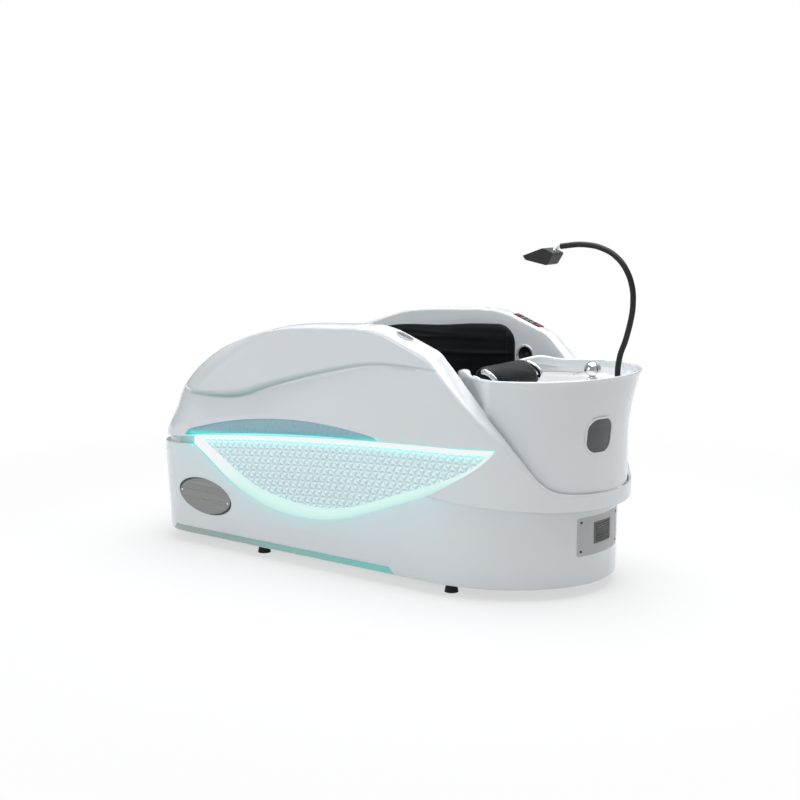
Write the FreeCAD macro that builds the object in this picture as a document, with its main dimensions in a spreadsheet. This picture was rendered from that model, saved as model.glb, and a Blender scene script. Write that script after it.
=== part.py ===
"""Hair washing bed: a moulded cradle with lit faceted sides, a washing basin and a gooseneck water arm.

Frame: millimetres, +X towards the basin end, +Z up, near side at -Y, floor at Z = 0,
origin under the middle of the whole box.
"""
import FreeCAD, Part
import os
import Sketcher
from math import atan2, ceil, cos, degrees, pi, radians, sin, sqrt, tan

Vec = FreeCAD.Vector
doc = FreeCAD.newDocument("HairWashingBed")
sheet = doc.addObject("Spreadsheet::Sheet", "Sizes")

# Driving dimensions, in millimetres, degrees or plain counts, with the ones that follow from others as sums
SIZES = [
    # Whole bed
    ("shell_length", 2058), ("shell_width", 925), ("wing_height", 1003), ("arm_overhang", 65),
    ("ground_gap", 45), ("fit_gap", 0.3), ("overrun", 20), ("wing_thick", 96.5),
    # Lower moulding
    ("base_wall", 6), ("base_side_inset", 23), ("base_head_inset", 52), ("base_reach_extra", 40),
    ("corner_radius", 206), ("full_width_height", 390), ("base_foot_top", 425),
    ("base_tip_top", 440), ("crease_start_height", 384), ("crease_head_height", 342),
    ("upstand_inset", 20), ("upstand_wall", 6),
    # Upper moulding
    ("belt_reach", 474), ("upper_foot_setback", 8), ("upper_foot_bottom", 444), ("upper_tip_bottom", 474),
    ("lean_start_height", 600), ("top_lean", 8), ("ledge_depth", 10),
    ("base_reach", "=belt_reach + base_reach_extra"), ("cockpit_half", "=shell_width / 2 - wing_thick"),
    ("foot_wall", 95), ("cockpit_corner", 110), ("belt_ring", 78), ("foot_rim_height", 575),
    ("foot_rim_half", 285), ("foot_rim_corner", 60),
    # Lit side panels
    ("pocket_depth", 40), ("peak_inset", 22), ("valley_inset", 33), ("facet_pitch", 35), ("facet_rise", 30),
    ("facet_rows", 12), ("facet_floor_height", 246), ("band_inset", 2), ("recess_depth", 30),
    ("recess_front", 14), ("strip_proud", 1.5), ("strip_height", 25), ("strip_inset", 4),
    # Oval cover plate
    ("plate_length", 300), ("plate_height", 152), ("plate_thick", 2), ("plate_tilt", 6),
    ("plate_from_foot", 340), ("plate_centre_height", 221), ("plate_screw_radius", 4),
    # Basin
    ("deck_height", 780), ("basin_seat", 405), ("basin_head_inset", 7), ("basin_reach_less", 124),
    ("basin_reach", "=belt_reach - basin_reach_less"), ("basin_side_gap", 6), ("rim_side_flare", 25),
    ("basin_half", "=cockpit_half - basin_side_gap"), ("rim_half", "=basin_half + rim_side_flare"),
    ("rim_overhang", 40), ("rim_over_deck", 54), ("rim_height", "=deck_height + rim_over_deck"),
    ("rim_slope", 1.6), ("basin_neck_half", 222), ("basin_share", 0.302235),
    ("basin_length", "=shell_length * basin_share"), ("basin_wall", 8), ("notch_half", 196),
    ("notch_depth", 40), ("notch_corner", 34), ("flank_bow_share", 0.38),
    ("deck_thick", 12), ("bowl_wall", 6), ("bowl_depth", 225), ("bowl_floor_share", 0.5),
    ("deck_length", 190), ("bowl_side_margin", 34), ("bowl_neck_margin", 30),
    # Window in the basin's wall
    ("window_width", 133), ("window_height", 143), ("window_offset", 97), ("window_centre_height", 623),
    ("window_thick", 6), ("bezel_width", 8), ("bezel_proud", 2),
    # Drain
    ("drain_radius", 24), ("drain_flange_radius", 34), ("drain_flange_thick", 3), ("drain_depth", 60),
    ("plug_radius", 22), ("plug_thick", 5), ("plug_stem_radius", 4), ("plug_stem_length", 56), ("plug_gap", 0.05),
    ("guide_radius", 8), ("guide_height", 14), ("waste_radius", 24), ("waste_wall", 2.5), ("trap_bend", 50),
    ("trap_low", 250), ("trap_high", 300), ("waste_end_height", 60),
    # Service panel
    ("panel_width", 288), ("panel_low", 158), ("panel_high", 306), ("panel_corner", 12),
    ("panel_thick", 4), ("panel_ledge", 12),
    ("grille_width", 122), ("grille_low", 196), ("grille_high", 281), ("grille_slots", 8),
    ("screw_head_radius", 4.5), ("screw_head_proud", 1.5), ("screw_margin", 18),
    # Steel frame and feet
    ("tube_size", 40), ("tube_wall", 2), ("rail_inset", 38), ("rail_centre", "=cockpit_half - rail_inset"),
    ("frame_from_foot", 190), ("frame_from_head", 330), ("rear_feet_share", 0.285228),
    ("front_feet_share", 0.755588), ("rear_feet_from_foot", "=shell_length * rear_feet_share"),
    ("front_feet_from_foot", "=shell_length * front_feet_share"), ("feet_inset", 10),
    ("feet_centre", "=cockpit_half - feet_inset"),
    ("foot_radius", 27), ("foot_pad_height", 33), ("foot_stem_radius", 8), ("tray_thick", 3), ("tray_length", 260),
    ("frame_back_post", 84),
    ("supply_length", 160), ("supply_width", 98), ("supply_height", 42), ("pump_radius", 45), ("pump_length", 150),
    # Bed
    ("board_thick", 15), ("board_gap", 4), ("bed_height", 430), ("cushion_thick", 95), ("cushion_crown", 12),
    ("cushion_corner", 26), ("cushion_gap", 3), ("seat_share", 0.369291),
    ("seat_length", "=shell_length * seat_share"), ("back_angle", 22),
    ("lining_thick", 16), ("lining_low", 470),
    # Neck rest
    ("neck_width", 284), ("neck_rod_radius", 7), ("neck_rod_gap", 6), ("neck_collar_radius", 9), ("neck_pin_radius", 6),
    ("neck_bore_gap", 0.05), ("neck_scale_share", 0.2), ("neck_pin_from_wall", 23.5), ("neck_pin_height", 15), ("ear_thick", 6), ("ear_radius", 10),
    # Mixer
    ("mixer_from_head", 111), ("mixer_flange_radius", 27), ("mixer_flange_thick", 5), ("mixer_body_radius", 23),
    ("mixer_body_height", 38), ("mixer_ball_height", 68), ("mixer_ball_radius", 27.6), ("mixer_cap_radius", 32),
    ("mixer_cap_wall", 4), ("mixer_cap_drop", 10), ("mixer_stem_radius", 9), ("mixer_stem_depth", 22),
    ("swivel_gap", 0.05), ("lever_reach", 78), ("lever_width", 22), ("lever_thick", 5), ("lever_angle", 20), ("lever_rise", 2),
    # Water arm
    ("arm_radius", 10.8), ("arm_from_head", 4), ("socket_radius", 18), ("socket_height", 20),
    ("ferrule_radius", 13), ("ferrule_length", 24), ("spigot_radius", 7), ("spigot_depth", 15),
    ("connector_radius", 6.5), ("connector_neck", 4), ("connector_length", 18), ("ball_radius", 8), ("ball_gap", 0.1),
    ("nozzle_length", 136), ("nozzle_width", 74), ("nozzle_face_thick", 4), ("nozzle_face_margin", 5),
    # Controls and sound
    ("console_length", 136), ("console_width", 46), ("console_depth", 14), ("button_radius", 7),
    ("button_proud", 2.5), ("key_width", 15), ("key_length", 11), ("key_pitch", 22),
    ("key_row_pitch", 19), ("button_spread", 104), ("key_pocket", 6), ("key_height", 6.5), ("running_gap", 0.4),
    ("speaker_radius", 44), ("speaker_ring", 9), ("speaker_proud", 4), ("speaker_depth", 40),
    ("cone_depth", 22), ("speaker_screw_radius", 2.5), ("speaker_screw_proud", 1),
    ("switch_length", 88), ("switch_width", 46), ("switch_depth", 10), ("switch_rim", 5), ("switch_proud", 2),
]
for row, (alias, number) in enumerate(SIZES, 1):
    sheet.set("A%d" % row, alias)
    sheet.set("B%d" % row, number if isinstance(number, str) else "%.9g" % number)
    sheet.setAlias("B%d" % row, alias)
doc.recompute()
S = sheet
PARTS = []


class Size:
    """A number with the formula it comes from, so that an object's property can be bound to it."""

    def __init__(self, number, formula):
        self.number = number
        self.formula = formula

    @staticmethod
    def joined(left, sign, right):
        number = {"+": float.__add__, "-": float.__sub__, "*": float.__mul__, "/": float.__truediv__}[sign]
        texts = [item.formula if isinstance(item, Size) else "%.9g" % item for item in (left, right)]
        return Size(number(float(left), float(right)), "(%s %s %s)" % (texts[0], sign, texts[1]))

    def __float__(self):
        return float(self.number)

    def __neg__(self):
        return Size.joined(self, "*", -1)

    def __add__(self, other):
        return Size.joined(self, "+", other)

    def __radd__(self, other):
        return Size.joined(other, "+", self)

    def __sub__(self, other):
        return Size.joined(self, "-", other)

    def __rsub__(self, other):
        return Size.joined(other, "-", self)

    def __mul__(self, other):
        return Size.joined(self, "*", other)

    def __rmul__(self, other):
        return Size.joined(other, "*", self)

    def __truediv__(self, other):
        return Size.joined(self, "/", other)


# The same dimensions as formulas
D = {alias: Size(sheet.get(alias), "Sizes." + alias) for alias, number in SIZES}

# Places that follow from the driving dimensions
HALF = S.shell_width / 2
FOOT = -(D["shell_length"] + D["arm_overhang"]) / 2
HEAD = FOOT + D["shell_length"]
FOOT_X = float(FOOT)
HEAD_X = float(HEAD)
UPPER_FOOT_X = FOOT_X + S.upper_foot_setback
RIM_X = HEAD_X + S.rim_overhang


def at_length(share):
    """X of a place given as a share of the shell's length from the foot end."""
    return FOOT_X + share * S.shell_length


def at_height(share):
    """Z of a place given as a share of the wing's height."""
    return share * S.wing_height


def register(obj, label):
    obj.Label = label
    PARTS.append(obj)
    return obj


def free_form(label, shape, where=None):
    """A moulded piece whose shape comes from lofts, which no single feature makes."""
    obj = doc.addObject("Part::Feature", label)
    obj.Shape = shape
    obj.Placement = where or shape.Placement
    return register(obj, label)


def link(obj, name, size):
    """Bind one property to a size, or set it where the size is zero."""
    if isinstance(size, Size):
        obj.setExpression(name, size.formula)
    else:
        setattr(obj, name, size)


def put(obj, x, y, z, axis=Vec(0, 0, 1), angle=0):
    """Turn an object about an axis through its own origin and bind its place."""
    obj.Placement = FreeCAD.Placement(Vec(float(x), float(y), float(z)), FreeCAD.Rotation(axis, float(angle)))
    for name, size in zip("xyz", (x, y, z)):
        if isinstance(size, Size):
            obj.setExpression("Placement.Base." + name, size.formula)
    return obj


def primitive(kind, name, **sizes):
    obj = doc.addObject("Part::" + kind, name)
    for key, size in sizes.items():
        link(obj, key, size)
    return obj


def block(name, corner, length, width, height):
    return put(primitive("Box", name, Length=length, Width=width, Height=height), *corner)


def joined(kind, name, parts):
    """Several objects as one, by a Part::MultiFuse or a Part::Compound."""
    obj = doc.addObject("Part::" + kind, name)
    setattr(obj, "Links" if kind == "Compound" else "Shapes", parts)
    return obj


def less(name, base, tool):
    obj = doc.addObject("Part::Cut", name)
    obj.Base, obj.Tool = base, tool
    return obj


def helper_form(name, shape):
    """A moulded form that only trims other objects."""
    obj = doc.addObject("Part::Feature", name)
    obj.Shape = shape
    return obj


def new_body(label):
    return register(doc.addObject("PartDesign::Body", label), label)


def outline(body, role, points):
    """A closed outline on one of the body's planes, with each corner bound to its place."""
    sketch = body.newObject("Sketcher::SketchObject", body.Name + "_outline")
    sketch.AttachmentSupport = [([plane for plane in body.Origin.OriginFeatures if plane.Role == role][0], "")]
    sketch.MapMode = "FlatFace"
    corners = [Vec(float(across), float(up), 0) for across, up in points]
    count = len(points)
    for i in range(count):
        sketch.addGeometry(Part.LineSegment(corners[i], corners[(i + 1) % count]), False)
    for i in range(count):
        sketch.addConstraint(Sketcher.Constraint("Coincident", i, 2, (i + 1) % count, 1))
    for i, point in enumerate(points):
        for kind, size in zip(("DistanceX", "DistanceY"), point):
            index = sketch.addConstraint(Sketcher.Constraint(kind, i, 1, float(size)))
            if isinstance(size, Size):
                sketch.setExpression("Constraints[%d]" % index, size.formula)
    return sketch


def turned(label, points):
    """A body turned about its own upright axis from an outline of radius and height."""
    body = new_body(label)
    sketch = outline(body, "XZ_Plane", points)
    turn = body.newObject("PartDesign::Revolution", label + "_turn")
    turn.Profile = sketch
    turn.ReferenceAxis = (sketch, ["V_Axis"])
    turn.Angle = 360
    body.Tip = turn
    return body


# Plan outlines of the mouldings
def squeeze(edge, x_scale, y_scale, x_shift, z):
    """A unit arc stretched to the wanted half axes and moved to its place."""
    matrix = FreeCAD.Matrix()
    matrix.scale(Vec(x_scale, y_scale, 1))
    matrix.move(Vec(x_shift, 0, z))
    return edge.transformGeometry(matrix)


def quarter(near):
    turn = -90 if near else 0
    return Part.makeCircle(1, Vec(0, 0, 0), Vec(0, 0, 1), turn, turn + 90).Edges[0]


def shell_plan(foot, head, half, reach, corner, z):
    """Straight sides, rounded foot corners and a half ellipse round the head end."""
    side_end = head - reach
    inner = corner * (1 - sqrt(0.5))
    near = [Vec(foot, corner - half, z), Vec(foot + inner, inner - half, z), Vec(foot + corner, -half, z)]
    far = [Vec(point.x, -point.y, z) for point in reversed(near)]
    edges = [
        Part.Arc(*near).toShape(),
        Part.makeLine(near[2], Vec(side_end, -half, z)),
        squeeze(quarter(True), reach, half, side_end, z),
        squeeze(quarter(False), reach, half, side_end, z),
        Part.makeLine(Vec(side_end, half, z), far[0]),
        Part.Arc(*far).toShape(),
        Part.makeLine(far[2], near[0]),
    ]
    return Part.Wire(edges)


def stack(wires):
    return Part.makeLoft(wires, True, True)


def prism_xz(wire, y_from, y_to):
    """A solid between two Y planes from an outline drawn on Y = 0."""
    face = Part.Face(wire)
    face.translate(Vec(0, y_from, 0))
    return face.extrude(Vec(0, y_to - y_from, 0))


def spline(points):
    curve = Part.BSplineCurve()
    curve.interpolate(points)
    return curve.toShape()


def xz(pair):
    return Vec(at_length(pair[0]), 0, at_height(pair[1]))


def mirrored(shape):
    return shape.mirror(Vec(0, 0, 0), Vec(0, 1, 0))


# Half width of the mouldings' sides, which lean in above and below the belt
def side_half(z, inset=0):
    low = S.full_width_height
    if z < low:
        return HALF - inset - S.base_side_inset * (low - z) / (low - S.ground_gap)
    if z > S.lean_start_height:
        return HALF - inset - S.top_lean * (z - S.lean_start_height) / (S.wing_height - S.lean_start_height)
    return HALF - inset


# The foot end's lean, as shares of wing height and of shell length
FOOT_LEAN_SHARES = [
    (0.30, 0.0), (0.442, 0.0), (0.47, 0.002), (0.548, 0.023), (0.658, 0.05), (0.717, 0.075), (0.794, 0.12),
    (0.878, 0.186), (1.012, 0.32),
]
# The wings' top edge from the foot to the peak, as shares of shell length and wing height
ARCH_SHARES = [
    (0.100, 0.74), (0.162, 0.828), (0.245, 0.890), (0.330, 0.946), (0.397, 0.974), (0.462, 0.988),
    (0.540, 0.997), (0.607, 1.0),
]
# The shallow slope that carries the controls, and the corner below it
SLOPE_SHARES = [(0.645, 0.984), (0.718, 0.929)]
CORNER_SHARES = [(0.733, 0.917), (0.748, 0.886)]
# The steep slope beside the basin, which runs out into the belt
STEEP_SHARES = [(0.870, 0.649)]
RUNOUT_SHARES = [(0.908, 0.550), (0.934, 0.467), (0.950, 0.430), (0.968, 0.413), (0.985, 0.407), (1.012, 0.4028)]


def wing_top_edges():
    arch = [xz(pair) for pair in ARCH_SHARES]
    slope = [xz(pair) for pair in SLOPE_SHARES]
    corner = [xz(pair) for pair in CORNER_SHARES]
    steep = xz(STEEP_SHARES[0])
    runout = [steep] + [xz(pair) for pair in RUNOUT_SHARES]
    peak = spline(arch + slope[:1])
    return [
        peak,
        Part.makeLine(slope[0], slope[1]),
        Part.Arc(slope[1], corner[0], corner[1]).toShape(),
        Part.makeLine(corner[1], steep),
        spline(runout),
    ], arch[0], runout[-1]


def above_wings():
    """Everything over the wings' elevation line, as a cutter."""
    edges, start, end = wing_top_edges()
    roof = S.wing_height + S.overrun
    far_left = FOOT_X - S.overrun
    corners = [end, Vec(end.x, 0, roof), Vec(far_left, 0, roof), Vec(far_left, 0, start.z), start]
    sides = [Part.makeLine(corners[i], corners[i + 1]) for i in range(len(corners) - 1)]
    return prism_xz(Part.Wire(edges + sides), -HALF - S.overrun, HALF + S.overrun)


# The line where the two mouldings meet, seen from the side, as shares of shell length
LENS_TIP_SHARE = 0.138
STEP_SHARE = 0.165
CREASE_START_SHARE = 0.731


def split_line(foot_height, tip_height, step):
    """Foot end, lens tip, step down behind the lens, crease start and head end."""
    points = [
        Vec(FOOT_X - S.overrun, 0, foot_height),
        Vec(at_length(LENS_TIP_SHARE), 0, tip_height),
    ]
    if step:
        points.append(Vec(at_length(STEP_SHARE), 0, S.base_tip_top))
    points += [
        Vec(at_length(CREASE_START_SHARE), 0, S.crease_start_height),
        Vec(HEAD_X, 0, S.crease_head_height),
        Vec(HEAD_X + S.rim_overhang + S.overrun, 0, S.crease_head_height),
    ]
    return points


def beyond_split(points, level):
    """A cutter from the split line up or down to a level."""
    closed = points + [Vec(points[-1].x, 0, level), Vec(points[0].x, 0, level), points[0]]
    return prism_xz(Part.makePolygon(closed), -HALF - S.overrun, HALF + S.overrun)


# Outline of the lit lens on the side, as shares of shell length and wing height
LENS_LEFT = (0.1475, 0.482)
LENS_TOP_MID = (0.497, 0.550)
LENS_RIGHT = (0.867, 0.584)
LENS_RIGHT_LOW = (0.853, 0.566)
LENS_LOWER_SHARES = [
    (0.822, 0.494), (0.768, 0.433), (0.731, 0.383), (0.652, 0.305), (0.5555, 0.242), (0.486, 0.212),
    (0.436, 0.207), (0.371, 0.218), (0.319, 0.240), (0.267, 0.279), (0.218, 0.336), (0.178, 0.400),
]
LENS_LEFT_LOW = (0.1475, 0.442)
# Inner edge of the light band, where the facets begin
INNER_LEFT = (0.168, 0.476)
INNER_TOP_MID = (0.497, 0.535)
INNER_RIGHT = (0.852, 0.566)
INNER_LOWER_SHARES = [
    (0.820, 0.508), (0.772, 0.462), (0.727, 0.420), (0.667, 0.362), (0.595, 0.308), (0.532, 0.274),
    (0.478, 0.262), (0.420, 0.263), (0.374, 0.277), (0.329, 0.300), (0.281, 0.340), (0.247, 0.376),
    (0.208, 0.428), (0.182, 0.462),
]


def lens_outline():
    top = Part.Arc(xz(LENS_LEFT), xz(LENS_TOP_MID), xz(LENS_RIGHT)).toShape()
    lower = [xz(LENS_RIGHT_LOW)] + [xz(pair) for pair in LENS_LOWER_SHARES] + [xz(LENS_LEFT_LOW)]
    return Part.Wire([
        top,
        Part.makeLine(xz(LENS_RIGHT), lower[0]),
        spline(lower),
        Part.makeLine(lower[-1], xz(LENS_LEFT)),
    ])


def facet_outline():
    top = Part.Arc(xz(INNER_LEFT), xz(INNER_TOP_MID), xz(INNER_RIGHT)).toShape()
    lower = [xz(INNER_RIGHT)] + [xz(pair) for pair in INNER_LOWER_SHARES] + [xz(INNER_LEFT)]
    return Part.Wire([top, spline(lower)])


# Outline of the recess above the lens
RECESS_LEFT = [(0.1165, 0.478), (0.1265, 0.500)]
RECESS_ARC = [(0.1265, 0.500), (0.335, 0.590), (0.610, 0.578)]
RECESS_RIGHT = [(0.610, 0.578), (0.6245, 0.562)]
RECESS_FLOOR = [(0.6245, 0.562), (0.400, 0.5395), (0.150, 0.484)]


def recess_outline():
    return Part.Wire([
        Part.makeLine(xz(RECESS_LEFT[0]), xz(RECESS_LEFT[1])),
        Part.Arc(*[xz(pair) for pair in RECESS_ARC]).toShape(),
        Part.makeLine(xz(RECESS_RIGHT[0]), xz(RECESS_RIGHT[1])),
        Part.Arc(*[xz(pair) for pair in RECESS_FLOOR]).toShape(),
        Part.makeLine(xz(RECESS_FLOOR[2]), xz(RECESS_LEFT[0])),
    ])


# Outer forms that the pieces share
def upper_form(inset):
    wires = []
    for height_share, setback_share in FOOT_LEAN_SHARES:
        z = at_height(height_share)
        foot = UPPER_FOOT_X + setback_share * S.shell_length + inset
        wires.append(shell_plan(foot, HEAD_X - inset, side_half(z, inset), S.belt_reach - inset,
                                S.corner_radius - inset, z))
    return stack(wires)


def side_form(inset):
    """The belt's plan carried down to the ground, for the trims set into the sides."""
    wires = []
    for z in (S.ground_gap, S.full_width_height, S.lean_start_height):
        wires.append(shell_plan(FOOT_X + inset, HEAD_X - inset, side_half(z, inset), S.belt_reach - inset,
                                S.corner_radius - inset, z))
    return stack(wires)


def side_core(inset):
    """Straight walled core behind the lit panels."""
    wires = [shell_plan(FOOT_X + inset, HEAD_X - inset, HALF - inset, S.belt_reach - inset,
                        S.corner_radius - inset, z) for z in (0, S.wing_height)]
    return stack(wires)


def base_form(inset):
    """The lower moulding's outside."""
    wires = []
    for z in (S.ground_gap, S.full_width_height, S.upper_tip_bottom):
        wires.append(shell_plan(FOOT_X + inset, HEAD_X - S.base_head_inset - inset, side_half(z, inset),
                                S.base_reach - inset, S.corner_radius - inset, z))
    return stack(wires)


NEAR_REACH = -HALF - S.overrun
lens_near = prism_xz(lens_outline(), NEAR_REACH, -S.cockpit_half / 2)
facet_near = prism_xz(facet_outline(), NEAR_REACH, -S.cockpit_half / 2)
recess_near = prism_xz(recess_outline(), NEAR_REACH, -S.cockpit_half / 2)
pocket_near = lens_near.cut(side_core(S.pocket_depth))
recess_cut_near = recess_near.cut(side_core(S.recess_depth))


def cockpit_prism(inset):
    """The cockpit's opening as an upright prism, moved in."""
    plan = shell_plan(FOOT_X + S.foot_wall + inset, HEAD_X - S.belt_ring - inset, S.cockpit_half - inset,
                      S.belt_reach - S.belt_ring - inset, S.cockpit_corner - inset, S.ground_gap)
    return Part.Face(plan).extrude(Vec(0, 0, S.wing_height))


def upper_shell():
    """Wings, foot end and belt in one moulding, with the cockpit open through it."""
    body = upper_form(0)
    ledge = upper_form(S.ledge_depth)
    above_wave = prism_xz(wave_outline(), NEAR_REACH, -NEAR_REACH)
    body = body.cut(above_wave.cut(ledge))
    body = body.cut(above_wings())
    body = body.cut(beyond_split(split_line(S.upper_foot_bottom, S.upper_tip_bottom, True), 0))
    body = body.cut(cockpit_prism(0))
    body = body.cut(rounded_box(FOOT_X - S.overrun, FOOT_X + S.foot_wall + S.overrun, -S.foot_rim_half,
                                S.foot_rim_half, S.foot_rim_height, S.wing_height, S.foot_rim_corner))
    for side in (pocket_near, recess_cut_near):
        body = body.cut(side)
        body = body.cut(mirrored(side))
    return body.removeSplitter()


# The moulded wave across the side, as shares of shell length and wing height
WAVE_SHARES = [
    (0.075, 0.690), (0.110, 0.675), (0.150, 0.658), (0.204, 0.659), (0.267, 0.675), (0.337, 0.720),
    (0.404, 0.764), (0.470, 0.799), (0.533, 0.830), (0.595, 0.855), (0.655, 0.863), (0.714, 0.861), (0.80, 0.852),
]


def wave_outline():
    wave = [xz(pair) for pair in WAVE_SHARES]
    roof = S.wing_height + S.overrun
    left = FOOT_X - S.overrun
    right = HEAD_X
    return Part.Wire([spline(wave)] + [
        Part.makeLine(wave[-1], Vec(right, 0, wave[-1].z)),
        Part.makeLine(Vec(right, 0, wave[-1].z), Vec(right, 0, roof)),
        Part.makeLine(Vec(right, 0, roof), Vec(left, 0, roof)),
        Part.makeLine(Vec(left, 0, roof), Vec(left, 0, wave[0].z)),
        Part.makeLine(Vec(left, 0, wave[0].z), wave[0]),
    ])


def base_shell():
    """Hollow skirt with an upstand that the upper moulding sits over."""
    skirt = base_form(0).cut(base_form(S.base_wall))
    skirt = skirt.cut(beyond_split(split_line(S.base_foot_top, S.base_tip_top, False), S.wing_height))
    skirt = skirt.cut(pocket_near).cut(mirrored(pocket_near))
    seat = panel_prism(S.running_gap).cut(base_form(S.panel_thick + S.fit_gap))
    skirt = skirt.cut(seat).cut(panel_prism(-S.panel_ledge))
    ring_inset = S.upstand_inset + S.upstand_wall
    split = split_line(S.base_foot_top, S.base_tip_top, False)
    flange = base_form(0).cut(base_form(ring_inset)).cut(beyond_split(split, S.wing_height))
    flange = flange.cut(beyond_split([point - Vec(0, 0, S.base_wall) for point in split], 0))
    upstand = side_form(S.upstand_inset).cut(side_form(ring_inset)).cut(beyond_split(split, 0))
    upper_split = split_line(S.upper_foot_bottom, S.upper_tip_bottom, True)
    upstand = upstand.cut(beyond_split(upper_split, S.wing_height))
    upstand = upstand.common(Part.makeBox(at_length(STEP_SHARE) - FOOT_X + S.overrun, 2 * HALF, S.wing_height,
                                          Vec(FOOT_X - S.overrun, -HALF, 0)))
    for piece in (flange, upstand):
        skirt = skirt.fuse(piece.cut(pocket_near).cut(mirrored(pocket_near)))
    return skirt.removeSplitter()


def rounded_box(x_from, x_to, y_low, y_high, z_low, z_high, corner):
    """A bar along X with rounded corners, seen from the basin end."""
    low, high = z_low + corner, z_high - corner
    inner = corner * (1 - sqrt(0.5))
    edges = []
    corners = [
        ((y_low, low), (y_low + inner, z_low + inner), (y_low + corner, z_low)),
        ((y_high - corner, z_low), (y_high - inner, z_low + inner), (y_high, low)),
        ((y_high, high), (y_high - inner, z_high - inner), (y_high - corner, z_high)),
        ((y_low + corner, z_high), (y_low + inner, z_high - inner), (y_low, high)),
    ]
    for i, arc in enumerate(corners):
        edges.append(Part.Arc(*[Vec(x_from, y, z) for y, z in arc]).toShape())
        next_start = corners[(i + 1) % 4][0]
        edges.append(Part.makeLine(Vec(x_from, *arc[2]), Vec(x_from, *next_start)))
    return Part.Face(Part.Wire(edges)).extrude(Vec(x_to - x_from, 0, 0))


def panel_prism(grow):
    half = S.panel_width / 2 + grow
    return rounded_box(HEAD_X - S.base_reach, HEAD_X, -half, half, S.panel_low - grow, S.panel_high + grow,
                       S.panel_corner)


def grille_prism(grow):
    half = S.grille_width / 2 + grow
    return rounded_box(HEAD_X - S.base_reach, HEAD_X, -half, half, S.grille_low - grow, S.grille_high + grow,
                       S.panel_corner / 2)


# Places on the wings' shallow slope, which carries the console and the oval switch
SLOPE_START = xz(SLOPE_SHARES[0])
SLOPE_END = xz(SLOPE_SHARES[1])
SLOPE_ANGLE = degrees(atan2(SLOPE_START.z - SLOPE_END.z, SLOPE_END.x - SLOPE_START.x))
SLOPE_TURN = FreeCAD.Rotation(Vec(0, 1, 0), SLOPE_ANGLE)
WING_MIDDLE = (S.cockpit_half + HALF - S.top_lean - S.ledge_depth) / 2


def on_slope(along, side):
    """Placement on the slope: along it from its top, with local Z square to it."""
    start = SLOPE_START + SLOPE_TURN.multVec(Vec(along, 0, 0))
    return FreeCAD.Placement(Vec(start.x, side * WING_MIDDLE, start.z), SLOPE_TURN)


def placed(shape, placement):
    copy = shape.copy()
    copy.Placement = placement.multiply(copy.Placement)
    return copy


CONSOLE_START = S.running_gap
CONSOLE_PLACE = on_slope(CONSOLE_START + S.console_length / 2, 1)
SWITCH_PLACE = on_slope(S.switch_length / 2, -1)
KEY_ROWS = (-1, 1)
KEY_COLUMNS = (-1, 0, 1)
BUTTON_ENDS = (-1, 1)


def ellipse_disc(length, width, z_low, z_high):
    face = Part.Face(Part.Wire([Part.Ellipse(Vec(0, 0, z_low), length / 2, width / 2).toShape()]))
    return face.extrude(Vec(0, 0, z_high - z_low))


def console_block(grow):
    return Part.makeBox(S.console_length + 2 * grow, S.console_width + 2 * grow, S.console_depth + grow + S.overrun,
                        Vec(-S.console_length / 2 - grow, -S.console_width / 2 - grow, -S.console_depth - grow))


SPEAKER_X = at_length(0.6825)
SPEAKER_Z = at_height(0.8195)


def speaker_bar(radius, y_from, y_to):
    return Part.makeCylinder(radius, y_to - y_from, Vec(SPEAKER_X, y_from, SPEAKER_Z), Vec(0, 1, 0))


# The basin's outside
def basin_plan(head, half, reach, neck, neck_half, z, slope=0):
    """Half ellipse at the head, sides that taper to a narrow flat neck wall."""
    centre = head - reach
    middle = Vec((centre + neck) / 2, half - S.flank_bow_share * (half - neck_half), z)
    edges = [
        squeeze(quarter(True), reach, half, centre, z),
        squeeze(quarter(False), reach, half, centre, z),
        Part.Arc(Vec(centre, half, z), middle, Vec(neck, neck_half, z)).toShape(),
        Part.makeLine(Vec(neck, neck_half, z), Vec(neck, -neck_half, z)),
        Part.Arc(Vec(neck, -neck_half, z), Vec(middle.x, -middle.y, z), Vec(centre, -half, z)).toShape(),
    ]
    wire = Part.Wire(edges)
    if slope:
        wire.rotate(Vec(centre, 0, z), Vec(0, 1, 0), -slope)
    return wire


NECK = HEAD + D["rim_overhang"] - D["basin_length"]
NECK_X = float(NECK)
# Height, head flare and side flare of the basin's wall from its seat to its rim, as shares
BASIN_WALL_SHARES = [(0, 0, 0), (0.43, 0, 0), (0.58, 0.13, 0), (0.79, 0.5, 0.15), (0.93, 0.8, 0.65), (1, 1, 1)]


def basin_form(inset, overrun):
    """The basin's wall moved in, carried past its top and below its seat where it serves as a cutter."""
    wires = []
    head_flare = S.rim_overhang + S.basin_head_inset
    for height, head_share, side_share in BASIN_WALL_SHARES:
        z = S.basin_seat + height * (S.rim_height - S.basin_seat)
        head = HEAD_X - S.basin_head_inset + head_share * head_flare - inset
        half = S.basin_half + side_share * (S.rim_half - S.basin_half) - inset
        last = height == 1
        wires.append(basin_plan(head, half, S.basin_reach - inset, NECK_X + inset, S.basin_neck_half - inset, z,
                                S.rim_slope if last else 0))
    if overrun:
        tops = wires[-1].copy()
        tops.translate(Vec(0, 0, S.overrun))
        bottoms = wires[0].copy()
        bottoms.translate(Vec(0, 0, -overrun))
        wires = [bottoms] + wires + [tops]
    return stack(wires)


# Shells
base = base_shell()
free_form("base_shell", base)
upper = upper_shell()
upper = upper.cut(placed(console_block(S.fit_gap), CONSOLE_PLACE))
upper = upper.cut(placed(ellipse_disc(S.switch_length, S.switch_width, -S.switch_depth, S.overrun), SWITCH_PLACE))
upper = upper.cut(speaker_bar(S.speaker_radius - S.speaker_ring, S.cockpit_half - S.overrun,
                              S.cockpit_half + S.speaker_depth))
upper = upper.cut(basin_form(-S.fit_gap, S.fit_gap))
free_form("upper_shell", upper)


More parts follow.
